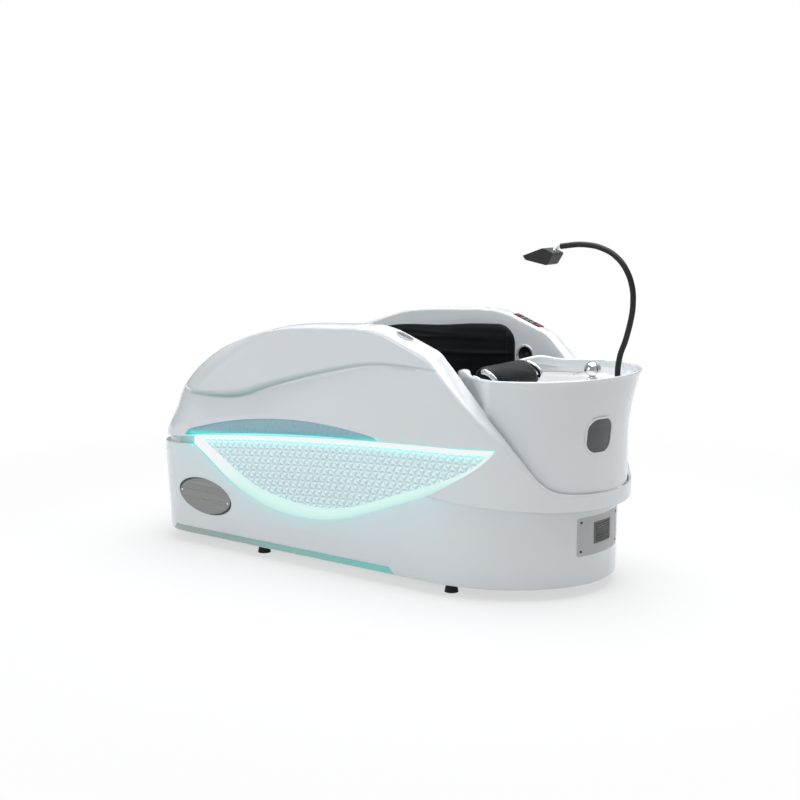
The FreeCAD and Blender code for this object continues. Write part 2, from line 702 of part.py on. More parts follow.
def belt_station(distance, inset):
    """A point of the belt's plan outline, moved in, at a distance along the side from the foot corner."""
    start = FOOT_X + S.corner_radius
    side_end = HEAD_X - S.belt_reach
    if start + distance <= side_end:
        return Vec(start + distance, inset - HALF, 0)
    left = start + distance - side_end
    angle, steps = 0.0, 40
    for step in range(steps):
        speed = sqrt((S.belt_reach * cos(angle)) ** 2 + (HALF * sin(angle)) ** 2)
        angle += left / steps / speed
    normal = Vec(HALF * sin(angle), -S.belt_reach * cos(angle), 0).normalize()
    return Vec(side_end + S.belt_reach * sin(angle), -HALF * cos(angle), 0) - normal * inset


def facet_quilt():
    """Rows and columns of four sided pyramids on a plate that follows the side round to the basin."""
    first = at_length(INNER_LEFT[0]) - FOOT_X - S.corner_radius
    columns = int(ceil((at_length(INNER_RIGHT[0]) - at_length(INNER_LEFT[0])) / S.facet_pitch)) + 2
    rows = int(S.facet_rows)
    distances = [first + i * S.facet_pitch for i in range(columns + 1)]
    heights = [S.facet_floor_height + j * S.facet_rise for j in range(rows + 1)]
    low_edge, high_edge = heights[0], heights[-1]
    valley = [belt_station(distance, S.valley_inset) for distance in distances]
    back = [belt_station(distance, S.pocket_depth) for distance in distances]
    peaks = [belt_station(distance + S.facet_pitch / 2, S.peak_inset) for distance in distances[:-1]]
    faces = []

    def up(point, z):
        return Vec(point.x, point.y, z)

    def add(*points):
        faces.append(Part.Face(Part.makePolygon(list(points) + [points[0]])))

    for i in range(columns):
        for low, high in zip(heights[:-1], heights[1:]):
            corners = [up(valley[i], low), up(valley[i + 1], low), up(valley[i + 1], high), up(valley[i], high)]
            apex = up(peaks[i], (low + high) / 2)
            for k in range(4):
                add(corners[k], corners[(k + 1) % 4], apex)
        add(up(back[i], low_edge), up(back[i + 1], low_edge), up(back[i + 1], high_edge), up(back[i], high_edge))
        for z in (low_edge, high_edge):
            add(up(valley[i], z), up(valley[i + 1], z), up(back[i + 1], z), up(back[i], z))
    for i in (0, columns):
        front = [up(valley[i], z) for z in heights]
        add(*(front + [up(back[i], high_edge), up(back[i], low_edge)]))
    solid = Part.Solid(Part.Shell(faces))
    if solid.Volume < 0:
        solid.reverse()
    return solid


def both_sides(label, near_shape):
    free_form(label + "_near", near_shape)
    free_form(label + "_far", mirrored(near_shape))


both_sides("facet_panel", facet_quilt().common(facet_near).cut(side_core(S.pocket_depth)))
both_sides("light_band", side_form(S.band_inset).common(lens_near).cut(facet_near).cut(side_core(S.pocket_depth)))
both_sides("recess_panel",
           side_form(S.recess_front).common(recess_near).cut(side_core(S.recess_depth)).cut(lens_near))

# Skirting strips along the bottom edge, with slanted ends
STRIP_SHARES = (0.0615, 0.0715, 0.6385, 0.6515)


def strip_outline():
    low = S.ground_gap + S.strip_inset
    high = low + S.strip_height
    x = [at_length(share) for share in STRIP_SHARES]
    return Part.makePolygon([Vec(x[0], 0, low), Vec(x[3], 0, low), Vec(x[2], 0, high), Vec(x[1], 0, high),
                             Vec(x[0], 0, low)])


strip = side_form(-S.strip_proud).common(prism_xz(strip_outline(), NEAR_REACH, 0)).cut(side_form(0))
both_sides("skirting_strip", strip)

# Oval cover plate near the foot, on the near side alone
PLATE_X = FOOT_X + S.plate_from_foot
plate_disc = ellipse_disc(S.plate_length, S.plate_height, 0, HALF)
plate_place = FreeCAD.Placement(Vec(PLATE_X, -S.cockpit_half, S.plate_centre_height),
                                FreeCAD.Rotation(Vec(0, 1, 0), S.plate_tilt).multiply(
                                    FreeCAD.Rotation(Vec(1, 0, 0), 90)))
plate = placed(plate_disc, plate_place)
free_form("oval_plate", side_form(-S.plate_thick).common(plate).cut(side_form(0)))
plate_screws = []
for end in (-1, 1):
    reach = end * (S.plate_length / 2 - S.screw_margin)
    x = PLATE_X + reach * cos(radians(S.plate_tilt))
    z = S.plate_centre_height - reach * sin(radians(S.plate_tilt))
    stud = Part.makeCylinder(S.plate_screw_radius, HALF, Vec(x, 0, z), Vec(0, -1, 0))
    head = side_form(-S.plate_thick - S.screw_head_proud).common(stud)
    plate_screws.append(head.cut(side_form(-S.plate_thick)))
free_form("oval_plate_screws", Part.makeCompound(plate_screws))

# Service panel with its grille and screws at the basin end
panel = base_form(0).common(panel_prism(0)).cut(base_form(S.panel_thick))
free_form("service_panel", panel.cut(grille_prism(0)))
grille = base_form(0).common(grille_prism(-S.fit_gap)).cut(base_form(S.panel_thick))
slot_pitch = (S.grille_high - S.grille_low) / (S.grille_slots + 1)
for slot in range(int(S.grille_slots)):
    z = S.grille_low + (slot + 0.75) * slot_pitch
    half = S.grille_width / 2 - S.panel_corner
    grille = grille.cut(Part.makeBox(S.base_reach, 2 * half, slot_pitch / 2, Vec(HEAD_X - S.base_reach, -half, z)))
free_form("service_grille", grille)
panel_screws = []
for side in (-1, 1):
    for z in (S.panel_low + S.screw_margin, S.panel_high - S.screw_margin):
        y = side * (S.panel_width / 2 - S.screw_margin)
        stud = Part.makeCylinder(S.screw_head_radius, S.base_reach, Vec(HEAD_X - S.base_reach, y, z), Vec(1, 0, 0))
        panel_screws.append(base_form(-S.screw_head_proud).common(stud).cut(base_form(0)))
free_form("service_panel_screws", Part.makeCompound(panel_screws))


def neck_notch():
    low = S.rim_height - S.notch_depth
    return rounded_box(NECK_X - S.overrun, NECK_X + S.basin_wall + S.overrun, -S.notch_half, S.notch_half, low,
                       S.wing_height, S.notch_corner)


WINDOW_CORNER_SHARE = 0.38


def window_prism(grow):
    half = S.window_width / 2 + grow
    z, tall = S.window_centre_height, S.window_height / 2 + grow
    y = -S.window_offset
    corner = S.window_width * WINDOW_CORNER_SHARE + grow
    return rounded_box(HEAD_X - S.basin_reach, RIM_X + S.overrun, y - half, y + half, z - tall, z + tall, corner)


housing = basin_form(0, 0).cut(basin_form(S.basin_wall, S.overrun)).cut(neck_notch()).cut(window_prism(0))
free_form("basin_housing", housing)
pane = basin_form(S.bezel_proud, 0).cut(basin_form(S.window_thick, S.overrun))
free_form("basin_window", pane.common(window_prism(-S.bezel_width)))
rim = basin_form(-S.bezel_proud, 0).cut(basin_form(S.window_thick, S.overrun))
free_form("window_bezel", rim.common(window_prism(-S.fit_gap)).cut(window_prism(-S.bezel_width)))

deck_low = S.deck_height - S.deck_thick
deck = basin_form(S.basin_wall + S.fit_gap, S.overrun).common(
    Part.makeBox(S.basin_length * 2, 2 * HALF, S.deck_thick, Vec(NECK_X - S.basin_length / 2, -HALF, deck_low)))


def bowl_form(grow, top):
    """The bowl's hollow, or its outside when grown by the wall."""
    head = RIM_X - S.deck_length
    half = S.rim_half - S.basin_wall - S.bowl_side_margin
    neck = NECK_X + S.basin_wall + S.bowl_neck_margin
    neck_half = S.basin_neck_half - S.basin_wall - S.bowl_side_margin
    centre = (head + neck) / 2
    wires = []
    for drop, share in ((0, 1), (0.5, 0.86), (0.85, 0.68), (1, S.bowl_floor_share)):
        z = S.deck_height - drop * (S.bowl_depth + grow) + (top if drop == 0 else 0)
        wires.append(basin_plan(centre + (head - centre) * share + grow, half * share + grow,
                                S.basin_reach * share * 0.6 + grow, centre + (neck - centre) * share - grow,
                                neck_half * share + grow, z))
    return stack(wires)


BOWL_X = (RIM_X - S.deck_length + NECK_X + S.basin_wall + S.bowl_neck_margin) / 2
BOWL_FLOOR = S.deck_height - S.bowl_depth
bowl = deck.fuse(bowl_form(S.bowl_wall, -S.deck_thick / 2)).cut(bowl_form(0, S.overrun))
drain_hole = Part.makeCylinder(S.drain_radius, S.overrun * 2, Vec(BOWL_X, 0, BOWL_FLOOR - S.overrun))
bowl = bowl.cut(drain_hole)
free_form("basin_bowl", bowl.removeSplitter())

# Drain in the bowl's floor
BOWL = (HEAD + D["rim_overhang"] - D["deck_length"] + NECK + D["basin_wall"] + D["bowl_neck_margin"]) / 2
FLOOR = D["deck_height"] - D["bowl_depth"]
tail_radius = D["waste_radius"] - D["waste_wall"] - D["fit_gap"]
tail_bore = tail_radius - D["waste_wall"]
flange_base = FLOOR + D["fit_gap"] - D["drain_depth"]
flange_ring = turned("drain_flange_ring", [
    (tail_bore, 0),
    (tail_radius, 0),
    (tail_radius, D["drain_depth"]),
    (D["drain_flange_radius"], D["drain_depth"]),
    (D["drain_flange_radius"], D["drain_depth"] + D["drain_flange_thick"]),
    (D["plug_radius"] + D["running_gap"], D["drain_depth"] + D["drain_flange_thick"]),
    (D["plug_radius"] + D["running_gap"], D["drain_depth"]),
    (tail_bore, D["drain_depth"]),
])
put(flange_ring, BOWL, 0, flange_base)
PARTS.remove(flange_ring)
guide = put(primitive("Cylinder", "drain_guide", Radius=D["guide_radius"], Height=D["guide_height"]),
            BOWL, 0, flange_base)
spoke = block("drain_spoke", (BOWL - tail_bore - D["waste_wall"] / 2, D["plug_stem_radius"] * -1, flange_base),
              tail_bore * 2 + D["waste_wall"], D["plug_stem_radius"] * 2, D["guide_height"] / 2)
guide_bore = put(primitive("Cylinder", "drain_bore", Radius=D["plug_stem_radius"] + D["plug_gap"],
                           Height=D["drain_depth"]), BOWL, 0, flange_base - D["overrun"])
register(less("drain_flange", joined("MultiFuse", "drain_rim_and_guide", [flange_ring, guide, spoke]), guide_bore),
         "drain_flange")
plug_seat = D["drain_depth"] + D["drain_flange_thick"] + D["fit_gap"]
plug_base = plug_seat - D["plug_stem_length"] - D["plug_thick"]
plug = turned("drain_plug", [
    (0, 0),
    (D["plug_stem_radius"], 0),
    (D["plug_stem_radius"], D["plug_stem_length"]),
    (tail_bore - D["plug_thick"], D["plug_stem_length"]),
    (D["plug_radius"], D["plug_stem_length"] + D["plug_thick"] - D["drain_flange_thick"] / 2),
    (D["plug_radius"], D["plug_stem_length"] + D["plug_thick"]),
    (0, D["plug_stem_length"] + D["plug_thick"] * 1.5),
])
put(plug, BOWL, 0, flange_base + plug_base)


def pipe(points, bends, radius, bore=0):
    """Straight runs joined by tangent arcs, swept with a round section, hollow where a bore is given."""
    edges = []
    last = points[0]
    for i in range(1, len(points) - 1):
        back = (points[i - 1] - points[i]).normalize()
        ahead = (points[i + 1] - points[i]).normalize()
        half_turn = (pi - back.getAngle(ahead)) / 2
        reach = bends[i - 1] * tan(half_turn)
        middle = (back + ahead).normalize() * (bends[i - 1] / cos(half_turn) - bends[i - 1])
        start, end = points[i] + back * reach, points[i] + ahead * reach
        if last.distanceToPoint(start) > S.swivel_gap:
            edges.append(Part.makeLine(last, start))
        edges.append(Part.Arc(start, points[i] + middle, end).toShape())
        last = end
    if last.distanceToPoint(points[-1]) > S.swivel_gap:
        edges.append(Part.makeLine(last, points[-1]))
    path = Part.Wire(edges)
    along = (points[1] - points[0]).normalize()
    tubes = []
    for ring in [radius] + ([bore] if bore else []):
        section = Part.Wire([Part.makeCircle(ring, points[0], along)])
        tubes.append(path.makePipeShell([section], True, True))
    return tubes[0].cut(tubes[1]) if bore else tubes[0]


bowl_x = float(BOWL)
trap = [
    Vec(bowl_x, 0, float(FLOOR) - S.bowl_wall - S.fit_gap),
    Vec(bowl_x, 0, S.trap_low - S.trap_bend),
    Vec(bowl_x + 2 * S.trap_bend, 0, S.trap_low - S.trap_bend),
    Vec(bowl_x + 2 * S.trap_bend, 0, S.trap_high + S.trap_bend),
    Vec(bowl_x + 4 * S.trap_bend, 0, S.trap_high + S.trap_bend),
    Vec(bowl_x + 4 * S.trap_bend, 0, S.waste_end_height),
]
free_form("waste_pipe", pipe(trap, [S.trap_bend - S.swivel_gap] * 4, S.waste_radius, S.waste_radius - S.waste_wall))

# Steel frame inside the mouldings
TUBE = D["tube_size"]
FRAME_FOOT = FOOT + D["frame_from_foot"]
FRAME_HEAD = HEAD - D["frame_from_head"]
BACK_FOOT = FOOT + D["foot_wall"] + D["board_gap"] + D["seat_length"] + D["cushion_gap"]
RISE = radians(S.back_angle)
back_x = float(BACK_FOOT) + S.cushion_thick * sin(RISE)
cushion_z = S.bed_height + 2 * S.fit_gap + S.board_thick
back_place = FreeCAD.Placement(Vec(back_x, 0, cushion_z), FreeCAD.Rotation(Vec(0, -1, 0), S.back_angle))
rail_drop = back_place.multVec(Vec(0, 0, -S.board_thick - 2 * S.fit_gap - S.tube_size))
outer_tubes, inner_tubes = [], []


def tube(name, x, y, z, length, width, height, angle=0):
    """A square tube with closed ends, as an outside and a hollow."""
    for parts, wall in ((outer_tubes, 0), (inner_tubes, D["tube_wall"])):
        sizes = [size - wall * 2 if wall else size for size in (length, width, height)]
        bar = primitive("Box", name + ("_hollow" if wall else ""), Length=sizes[0], Width=sizes[1], Height=sizes[2])
        corner = [place + wall if wall else place for place in (x, y, z)]
        if angle and wall:
            shift = FreeCAD.Rotation(Vec(0, -1, 0), angle).multVec(Vec(float(wall), 0, float(wall)))
            corner = [x + shift.x, y + wall, z + shift.z]
        put(bar, *corner, axis=Vec(0, -1, 0), angle=angle)
        parts.append(bar)


rail_length = FRAME_HEAD - FRAME_FOOT
low_rail = D["ground_gap"]
top_rail = D["bed_height"] - TUBE
back_post = NECK - D["frame_back_post"]
# Where the back posts meet the sloping rails, and how far the rails run past them, in tube widths
POST_INTO_RAIL, RAIL_PAST_POST = 0.45, 1.6
post_middle = float(back_post) + S.tube_size / 2
post_height = rail_drop.z + (post_middle - rail_drop.x) * tan(RISE) + POST_INTO_RAIL * S.tube_size - S.ground_gap
back_rail = (float(back_post) + RAIL_PAST_POST * S.tube_size - rail_drop.x) / cos(RISE)
for side in (-1, 1):
    rail_y = side * D["rail_centre"] - TUBE / 2
    tube("rail", FRAME_FOOT, rail_y, low_rail, rail_length, TUBE, TUBE)
    tube("top_rail", FRAME_FOOT, rail_y, top_rail, BACK_FOOT + TUBE * 2 - FRAME_FOOT, TUBE, TUBE)
    for x in (FRAME_FOOT, FOOT + D["rear_feet_from_foot"], BACK_FOOT - TUBE):
        tube("post", x, rail_y, low_rail, TUBE, TUBE, top_rail - low_rail + TUBE / 2)
    tube("back_post", back_post, rail_y, low_rail, TUBE, TUBE, post_height)
    tube("back_rail", rail_drop.x, rail_y, rail_drop.z, back_rail, TUBE, TUBE, S.back_angle)
for x in (FOOT + D["rear_feet_from_foot"], FOOT + D["front_feet_from_foot"]):
    tube("cross_rail", x - TUBE / 2, -D["shell_width"] / 2, low_rail, TUBE, D["shell_width"], TUBE)
    for parts, wall in ((outer_tubes, 0), (inner_tubes, S.tube_wall)):
        trimmed = doc.addObject("Part::MultiCommon", "cross_rail_ends")
        trimmed.Shapes = [parts.pop(), helper_form("skirt_inside", base_form(S.base_wall + S.fit_gap + wall))]
        parts.append(trimmed)
for x, z in ((FRAME_FOOT, low_rail), (FRAME_HEAD - TUBE, low_rail), (FRAME_FOOT, top_rail),
             (BACK_FOOT - TUBE, top_rail)):
    tube("end_rail", x, -D["rail_centre"], z, TUBE, D["rail_centre"] * 2, TUBE)
frame_outside = joined("MultiFuse", "frame_tubes", outer_tubes)
frame_inside = joined("MultiFuse", "frame_hollows", inner_tubes)
register(less("base_frame", frame_outside, frame_inside), "base_frame")

# Levelling feet
feet = []
for x in (FOOT + D["rear_feet_from_foot"], FOOT + D["front_feet_from_foot"]):
    for side in (-1, 1):
        y = side * D["feet_centre"]
        pad = primitive("Cone", "foot_pad", Radius1=D["foot_radius"], Radius2=D["foot_radius"] - D["base_wall"],
                        Height=D["foot_pad_height"])
        stem = primitive("Cylinder", "foot_stem", Radius=D["foot_stem_radius"], Height=low_rail)
        feet.append(joined("MultiFuse", "foot", [put(pad, x, y, 0), put(stem, x, y, 0)]))
register(joined("Compound", "levelling_feet", feet), "levelling_feet")

# Pump and light supply on a tray by the service panel
tray_x = FRAME_HEAD - D["tray_length"]
tray_z = low_rail + TUBE + D["fit_gap"]
tray = block("equipment_tray", (tray_x, -D["rail_centre"], tray_z), D["tray_length"], D["rail_centre"] * 2,
             D["tray_thick"])
register(tray, "equipment_tray")
unit_z = tray_z + D["tray_thick"] + D["fit_gap"]
supply = block("power_supply", (tray_x + D["overrun"], D["overrun"] * 4, unit_z), D["supply_length"],
               D["supply_width"], D["supply_height"])
register(supply, "power_supply")
pump_y = -D["overrun"] * 9
pump_foot = block("pump_foot", (tray_x + D["overrun"], pump_y - D["pump_radius"], unit_z), D["pump_length"],
                  D["pump_radius"] * 2, D["tray_thick"] * 2)
pump_drum = put(primitive("Cylinder", "pump_drum", Radius=D["pump_radius"], Height=D["pump_length"]),
                tray_x + D["overrun"], pump_y, unit_z + D["tray_thick"] + D["pump_radius"], Vec(0, 1, 0), 90)
pump_port = put(primitive("Cylinder", "pump_port", Radius=D["pump_radius"] / 4, Height=D["pump_radius"] * 1.5),
                tray_x + D["overrun"] * 2, pump_y, unit_z + D["tray_thick"] + D["pump_radius"])
register(joined("MultiFuse", "water_pump", [pump_foot, pump_drum, pump_port]), "water_pump")

# Boards and upholstery
SEAT = FOOT + D["foot_wall"] + D["board_gap"]
board_half = D["cockpit_half"] - D["board_gap"]
seat_board = block("seat_board", (SEAT, -board_half, D["bed_height"] + D["fit_gap"]), D["seat_length"],
                   board_half * 2, D["board_thick"])
register(seat_board, "seat_board")
# Inset and thickness of a cushion's section across its width, as shares
CUSHION_SHARES = [(-1, 0.10, 0.70), (-0.955, 0.02, 0.92), (-0.86, 0, 1), (0.86, 0, 1), (0.955, 0.02, 0.92),
                  (1, 0.10, 0.70)]


def cushion(length, half, thick, crown, corner, end_lean=0):
    """A padded block from X = 0 with rounded edges, a crowned top and drawn in sides."""
    wires = []
    for across, inset_share, thick_share in CUSHION_SHARES:
        inset = inset_share * corner
        low, high = 0, thick * thick_share - crown
        left, right = inset, length - inset
        lean = end_lean * high
        turn = corner * (1 - sqrt(0.5))
        y = across * half
        points = [
            Vec(left, y, low), Vec(left, y, high - corner), Vec(left + turn, y, high - turn),
            Vec(left + corner, y, high), Vec((left + right + lean) / 2, y, high + crown * thick_share),
            Vec(right + lean - corner, y, high), Vec(right + lean - turn, y, high - turn),
            Vec(right + lean * (1 - corner / high), y, high - corner), Vec(right, y, low),
        ]
        wires.append(Part.Wire([
            Part.makeLine(points[0], points[1]),
            Part.Arc(*points[1:4]).toShape(),
            Part.Arc(*points[3:6]).toShape(),
            Part.Arc(*points[5:8]).toShape(),
            Part.makeLine(points[7], points[8]),
            Part.makeLine(points[8], points[0]),
        ]))
    return stack(wires)


cushion_half = S.cockpit_half - S.lining_thick - S.cushion_gap
seat = cushion(S.seat_length, cushion_half, S.cushion_thick, S.cushion_crown, S.cushion_corner)
seat.translate(Vec(float(SEAT), 0, cushion_z))
free_form("seat_cushion", seat.common(cockpit_prism(S.cushion_gap)))
back_length = (NECK_X - S.cushion_gap - back_x - S.board_thick * sin(RISE)) / cos(RISE)
back = cushion(back_length, cushion_half, S.cushion_thick, S.cushion_crown, S.cushion_corner, tan(RISE))
free_form("back_cushion", placed(back, back_place))
back_board = Part.makeBox(back_length, 2 * cushion_half, S.board_thick,
                          Vec(0, -cushion_half, -S.board_thick - S.fit_gap))
free_form("back_board", placed(back_board, back_place))
# Top edge of the padded side linings, as shares of shell length and wing height
LINING_SHARES = [(0.084, 0.598), (0.191, 0.798), (0.3076, 0.882), (0.351, 0.900), (0.471, 0.917), (0.555, 0.934),
                 (0.612, 0.940)]
LINING_CORNER_SHARES = [(0.612, 0.940), (0.648, 0.913), (0.6575, 0.866)]


def lining_outline():
    top = [xz(pair) for pair in LINING_SHARES]
    corner = [xz(pair) for pair in LINING_CORNER_SHARES]
    low_right, low_left = Vec(corner[2].x, 0, S.lining_low), Vec(top[0].x, 0, S.lining_low)
    return Part.Wire([
        spline(top),
        Part.Arc(*corner).toShape(),
        Part.makeLine(corner[2], low_right),
        Part.makeLine(low_right, low_left),
        Part.makeLine(low_left, top[0]),
    ])


lining = prism_xz(lining_outline(), -S.cockpit_half + S.fit_gap, S.lining_thick - S.cockpit_half)
both_sides("side_lining", lining.common(cockpit_prism(S.fit_gap)))

# Neck rest
PIN = Vec(NECK_X + S.neck_pin_from_wall, 0, S.deck_height + S.neck_pin_height)
# Section of the neck cushion round its pin, as shares of the cushion's width
NECK_SHARES = [
    [(-0.018, -0.028), (0.035, 0.100), (0.150, 0.151)],
    [(0.150, 0.151), (0.310, 0.090), (0.430, -0.075)],
    [(0.430, -0.075), (0.440, -0.130), (0.385, -0.150)],
    [(0.385, -0.150), (0.190, -0.085), (-0.018, -0.028)],
]
NECK_WIDTH_SHARES = [(-1, 0.80), (-0.93, 0.95), (-0.80, 1), (0.80, 1), (0.93, 0.95), (1, 0.80)]
neck_middle = Vec(S.neck_scale_share * S.neck_width, 0, 0)
neck_wires = []
for across, scale in NECK_WIDTH_SHARES:
    arcs = []
    for arc in NECK_SHARES:
        corners = [(Vec(x, 0, z) * S.neck_width - neck_middle) * scale + neck_middle for x, z in arc]
        arcs.append(Part.Arc(*[PIN + point + Vec(0, across * S.neck_width / 2, 0) for point in corners]).toShape())
    neck_wires.append(Part.Wire(arcs))


def cross_bar(centre, radius, half):
    return Part.makeCylinder(radius, 2 * half, centre - Vec(0, half, 0), Vec(0, 1, 0))


FRONT_PIN = PIN + Vec(0.375, 0, -0.09) * S.neck_width
rod_y = S.neck_width / 2 + S.neck_rod_gap + S.neck_rod_radius
# The rods' bend over the cushion, as shares of the cushion's width
ROD_SHARES = [(0.012, 0.170), (0.300, 0.178), (0.470, 0.010)]
rod_route = [PIN] + [PIN + Vec(x, 0, z) * S.neck_width for x, z in ROD_SHARES] + [FRONT_PIN]
ROD_BENDS = (3.2, 8, 2)
rod_bends = [S.neck_rod_radius * times for times in ROD_BENDS]
rod = pipe(rod_route, rod_bends, S.neck_rod_radius)
ear_y = rod_y + S.neck_collar_radius + S.running_gap
pin_bar = cross_bar(PIN, S.neck_pin_radius, ear_y + S.ear_thick)
front_bar = cross_bar(FRONT_PIN, S.neck_pin_radius, rod_y)
rods = pin_bar.fuse(front_bar)
for side in (-1, 1):
    shifted = rod.copy()
    shifted.translate(Vec(0, side * rod_y, 0))
    rods = rods.fuse(shifted)
    for centre in (PIN, FRONT_PIN):
        rods = rods.fuse(cross_bar(centre + Vec(0, side * rod_y, 0), S.neck_collar_radius, S.neck_collar_radius))
free_form("neck_rest_rods", rods.removeSplitter())
neck_cushion = stack(neck_wires)
for centre in (PIN, FRONT_PIN):
    neck_cushion = neck_cushion.cut(cross_bar(centre, S.neck_pin_radius + S.fit_gap, S.neck_width))
free_form("neck_cushion", neck_cushion)
ears = []
for side in (-1, 1):
    y = ear_y if side > 0 else -ear_y - S.ear_thick
    foot = Part.makeBox(2 * S.ear_radius, S.ear_thick, S.neck_pin_height - S.fit_gap,
                        Vec(PIN.x - S.ear_radius, y, S.deck_height + S.fit_gap))
    round_end = Part.makeCylinder(S.ear_radius, S.ear_thick, Vec(PIN.x, y, PIN.z), Vec(0, 1, 0))
    bore = Part.makeCylinder(S.neck_pin_radius + S.neck_bore_gap, S.ear_thick, Vec(PIN.x, y, PIN.z), Vec(0, 1, 0))
    flat_y = y if side > 0 else y - S.ear_thick
    flat = Part.makeBox(2 * S.ear_radius, 2 * S.ear_thick, S.ear_thick / 2,
                        Vec(PIN.x - S.ear_radius, flat_y, S.deck_height + S.fit_gap))
    ears.append(foot.fuse([round_end, flat]).cut(bore).removeSplitter())
free_form("neck_rest_bracket", Part.makeCompound(ears))

# Mixer tap on the deck
MIXER = HEAD - D["mixer_from_head"]
DECK = D["deck_height"] + D["fit_gap"]
stem_bore = D["mixer_stem_radius"] + D["swivel_gap"]
stem_floor = D["mixer_body_height"] - D["mixer_stem_depth"]
put(turned("mixer_body", [
    (0, 0),
    (D["mixer_flange_radius"], 0),
    (D["mixer_flange_radius"], D["mixer_flange_thick"]),
    (D["mixer_body_radius"], D["mixer_flange_thick"]),
    (D["mixer_body_radius"], D["mixer_body_height"] - D["mixer_flange_thick"]),
    (D["mixer_body_radius"] - D["mixer_flange_thick"], D["mixer_body_height"]),
    (stem_bore, D["mixer_body_height"]),
    (stem_bore, stem_floor),
    (0, stem_floor),
]), MIXER, 0, DECK)
ball = primitive("Sphere", "mixer_globe", Radius=D["mixer_ball_radius"])
stem_length = D["mixer_ball_height"] - stem_floor - D["fit_gap"]
stem = primitive("Cylinder", "mixer_stem", Radius=D["mixer_stem_radius"], Height=stem_length)
put(ball, MIXER, 0, DECK + D["mixer_ball_height"])
put(stem, MIXER, 0, DECK + stem_floor + D["fit_gap"])
register(joined("MultiFuse", "mixer_ball", [ball, stem]), "mixer_ball")
ball_centre = Vec(float(MIXER), 0, float(DECK) + S.mixer_ball_height)
cap = Part.makeSphere(S.mixer_cap_radius, ball_centre)
lever_half = S.lever_width / 2
lever = Part.makeBox(S.lever_reach, S.lever_width, S.lever_thick, Vec(-S.lever_reach, -lever_half, 0))
tip = Part.makeCylinder(lever_half, S.lever_thick, Vec(-S.lever_reach, 0, 0))
lever = lever.fuse(tip)
lever_place = FreeCAD.Placement(ball_centre + Vec(0, 0, S.lever_rise),
                                FreeCAD.Rotation(Vec(0, 1, 0), -S.lever_angle))
handle = cap.fuse(placed(lever, lever_place))
handle = handle.cut(Part.makeSphere(S.mixer_cap_radius - S.mixer_cap_wall, ball_centre))
below = Part.makeCylinder(S.mixer_cap_radius, S.mixer_cap_radius,
                          ball_centre - Vec(0, 0, S.mixer_cap_drop + S.mixer_cap_radius))
handle = handle.cut(below)
free_form("mixer_handle", handle.removeSplitter())

# Water arm
ARM = HEAD - D["arm_from_head"]
put(turned("arm_socket", [
    (0, 0),
    (D["socket_radius"], 0),
    (D["socket_radius"], D["socket_height"] - D["socket_radius"] / 6),
    (D["socket_radius"] * 5 / 6, D["socket_height"]),
    (D["spigot_radius"] + D["swivel_gap"], D["socket_height"]),
    (D["spigot_radius"] + D["swivel_gap"], D["socket_height"] - D["spigot_depth"] - D["fit_gap"]),
    (0, D["socket_height"] - D["spigot_depth"] - D["fit_gap"]),
]), ARM, 0, DECK)
FERRULE = DECK + D["socket_height"] + D["fit_gap"]
put(turned("arm_ferrule", [
    (0, 0),
    (D["spigot_radius"], 0),
    (D["spigot_radius"], D["spigot_depth"]),
    (D["ferrule_radius"], D["spigot_depth"]),
    (D["ferrule_radius"], D["spigot_depth"] + D["ferrule_length"] - D["fit_gap"] * 5),
    (D["ferrule_radius"] - D["fit_gap"] * 5, D["spigot_depth"] + D["ferrule_length"]),
    (0, D["spigot_depth"] + D["ferrule_length"]),
]), ARM, 0, FERRULE - D["spigot_depth"])
# The arm's route above its ferrule, towards the bed and upwards, in shares of shell length and wing height
ARM_SHARES = [(0.0, 0.040), (-0.0046, 0.094), (-0.0143, 0.140), (-0.0231, 0.205), (-0.0283, 0.260),
              (-0.0283, 0.325), (-0.0207, 0.380), (-0.0051, 0.430), (0.0168, 0.465), (0.0474, 0.487),
              (0.0838, 0.492), (0.1241, 0.480)]
arm_start = Vec(float(ARM), 0, float(FERRULE) + S.ferrule_length + S.swivel_gap)
arm_route = [arm_start] + [arm_start + Vec(-x * S.shell_length, 0, z * S.wing_height) for x, z in ARM_SHARES]
# Share of the shorter run that each bend takes up
BEND_SHARE = 0.45
arm_bends = []
for i in range(1, len(arm_route) - 1):
    back, ahead = arm_route[i - 1] - arm_route[i], arm_route[i + 1] - arm_route[i]
    half_turn = (pi - back.getAngle(ahead)) / 2
    arm_bends.append(BEND_SHARE * min(back.Length, ahead.Length) / tan(half_turn))
free_form("gooseneck_arm", pipe(arm_route, arm_bends, S.arm_radius))
arm_end = arm_route[-1]
run_out = (arm_route[-1] - arm_route[-2]).normalize()
# Middle of the ball joint, from the arm's end, as shares of the arm's diameter
BALL_SHARES = (-1.37, -0.80)
BALL = arm_end + Vec(BALL_SHARES[0], 0, BALL_SHARES[1]) * (2 * S.arm_radius)
to_arm = (arm_end - BALL).normalize()
tail = Part.makeCylinder(S.connector_neck, BALL.distanceToPoint(arm_end) - S.connector_length, BALL, to_arm)
sleeve = Part.makeCylinder(S.connector_radius, S.connector_length, arm_end - to_arm * S.connector_length, to_arm)
joint = Part.makeSphere(S.ball_radius, BALL).fuse([tail, sleeve])
joint = joint.cut(Part.makeCylinder(S.arm_radius, S.overrun, arm_end - run_out * S.swivel_gap, run_out * -1))
free_form("nozzle_joint", joint.removeSplitter())
# Side outline of the nozzle head round the ball, as shares of its length
NOZZLE_SHARES = [(-0.875, -0.162), (-0.243, 0.066), (-0.103, 0.037), (0.125, -0.059), (0.110, -0.125),
                 (-0.044, -0.368), (-0.110, -0.397), (-0.779, -0.279)]


def nozzle_wire(shares):
    points = [BALL + Vec(x, 0, z) * S.nozzle_length for x, z in shares]
    return Part.makePolygon(points + points[:1])


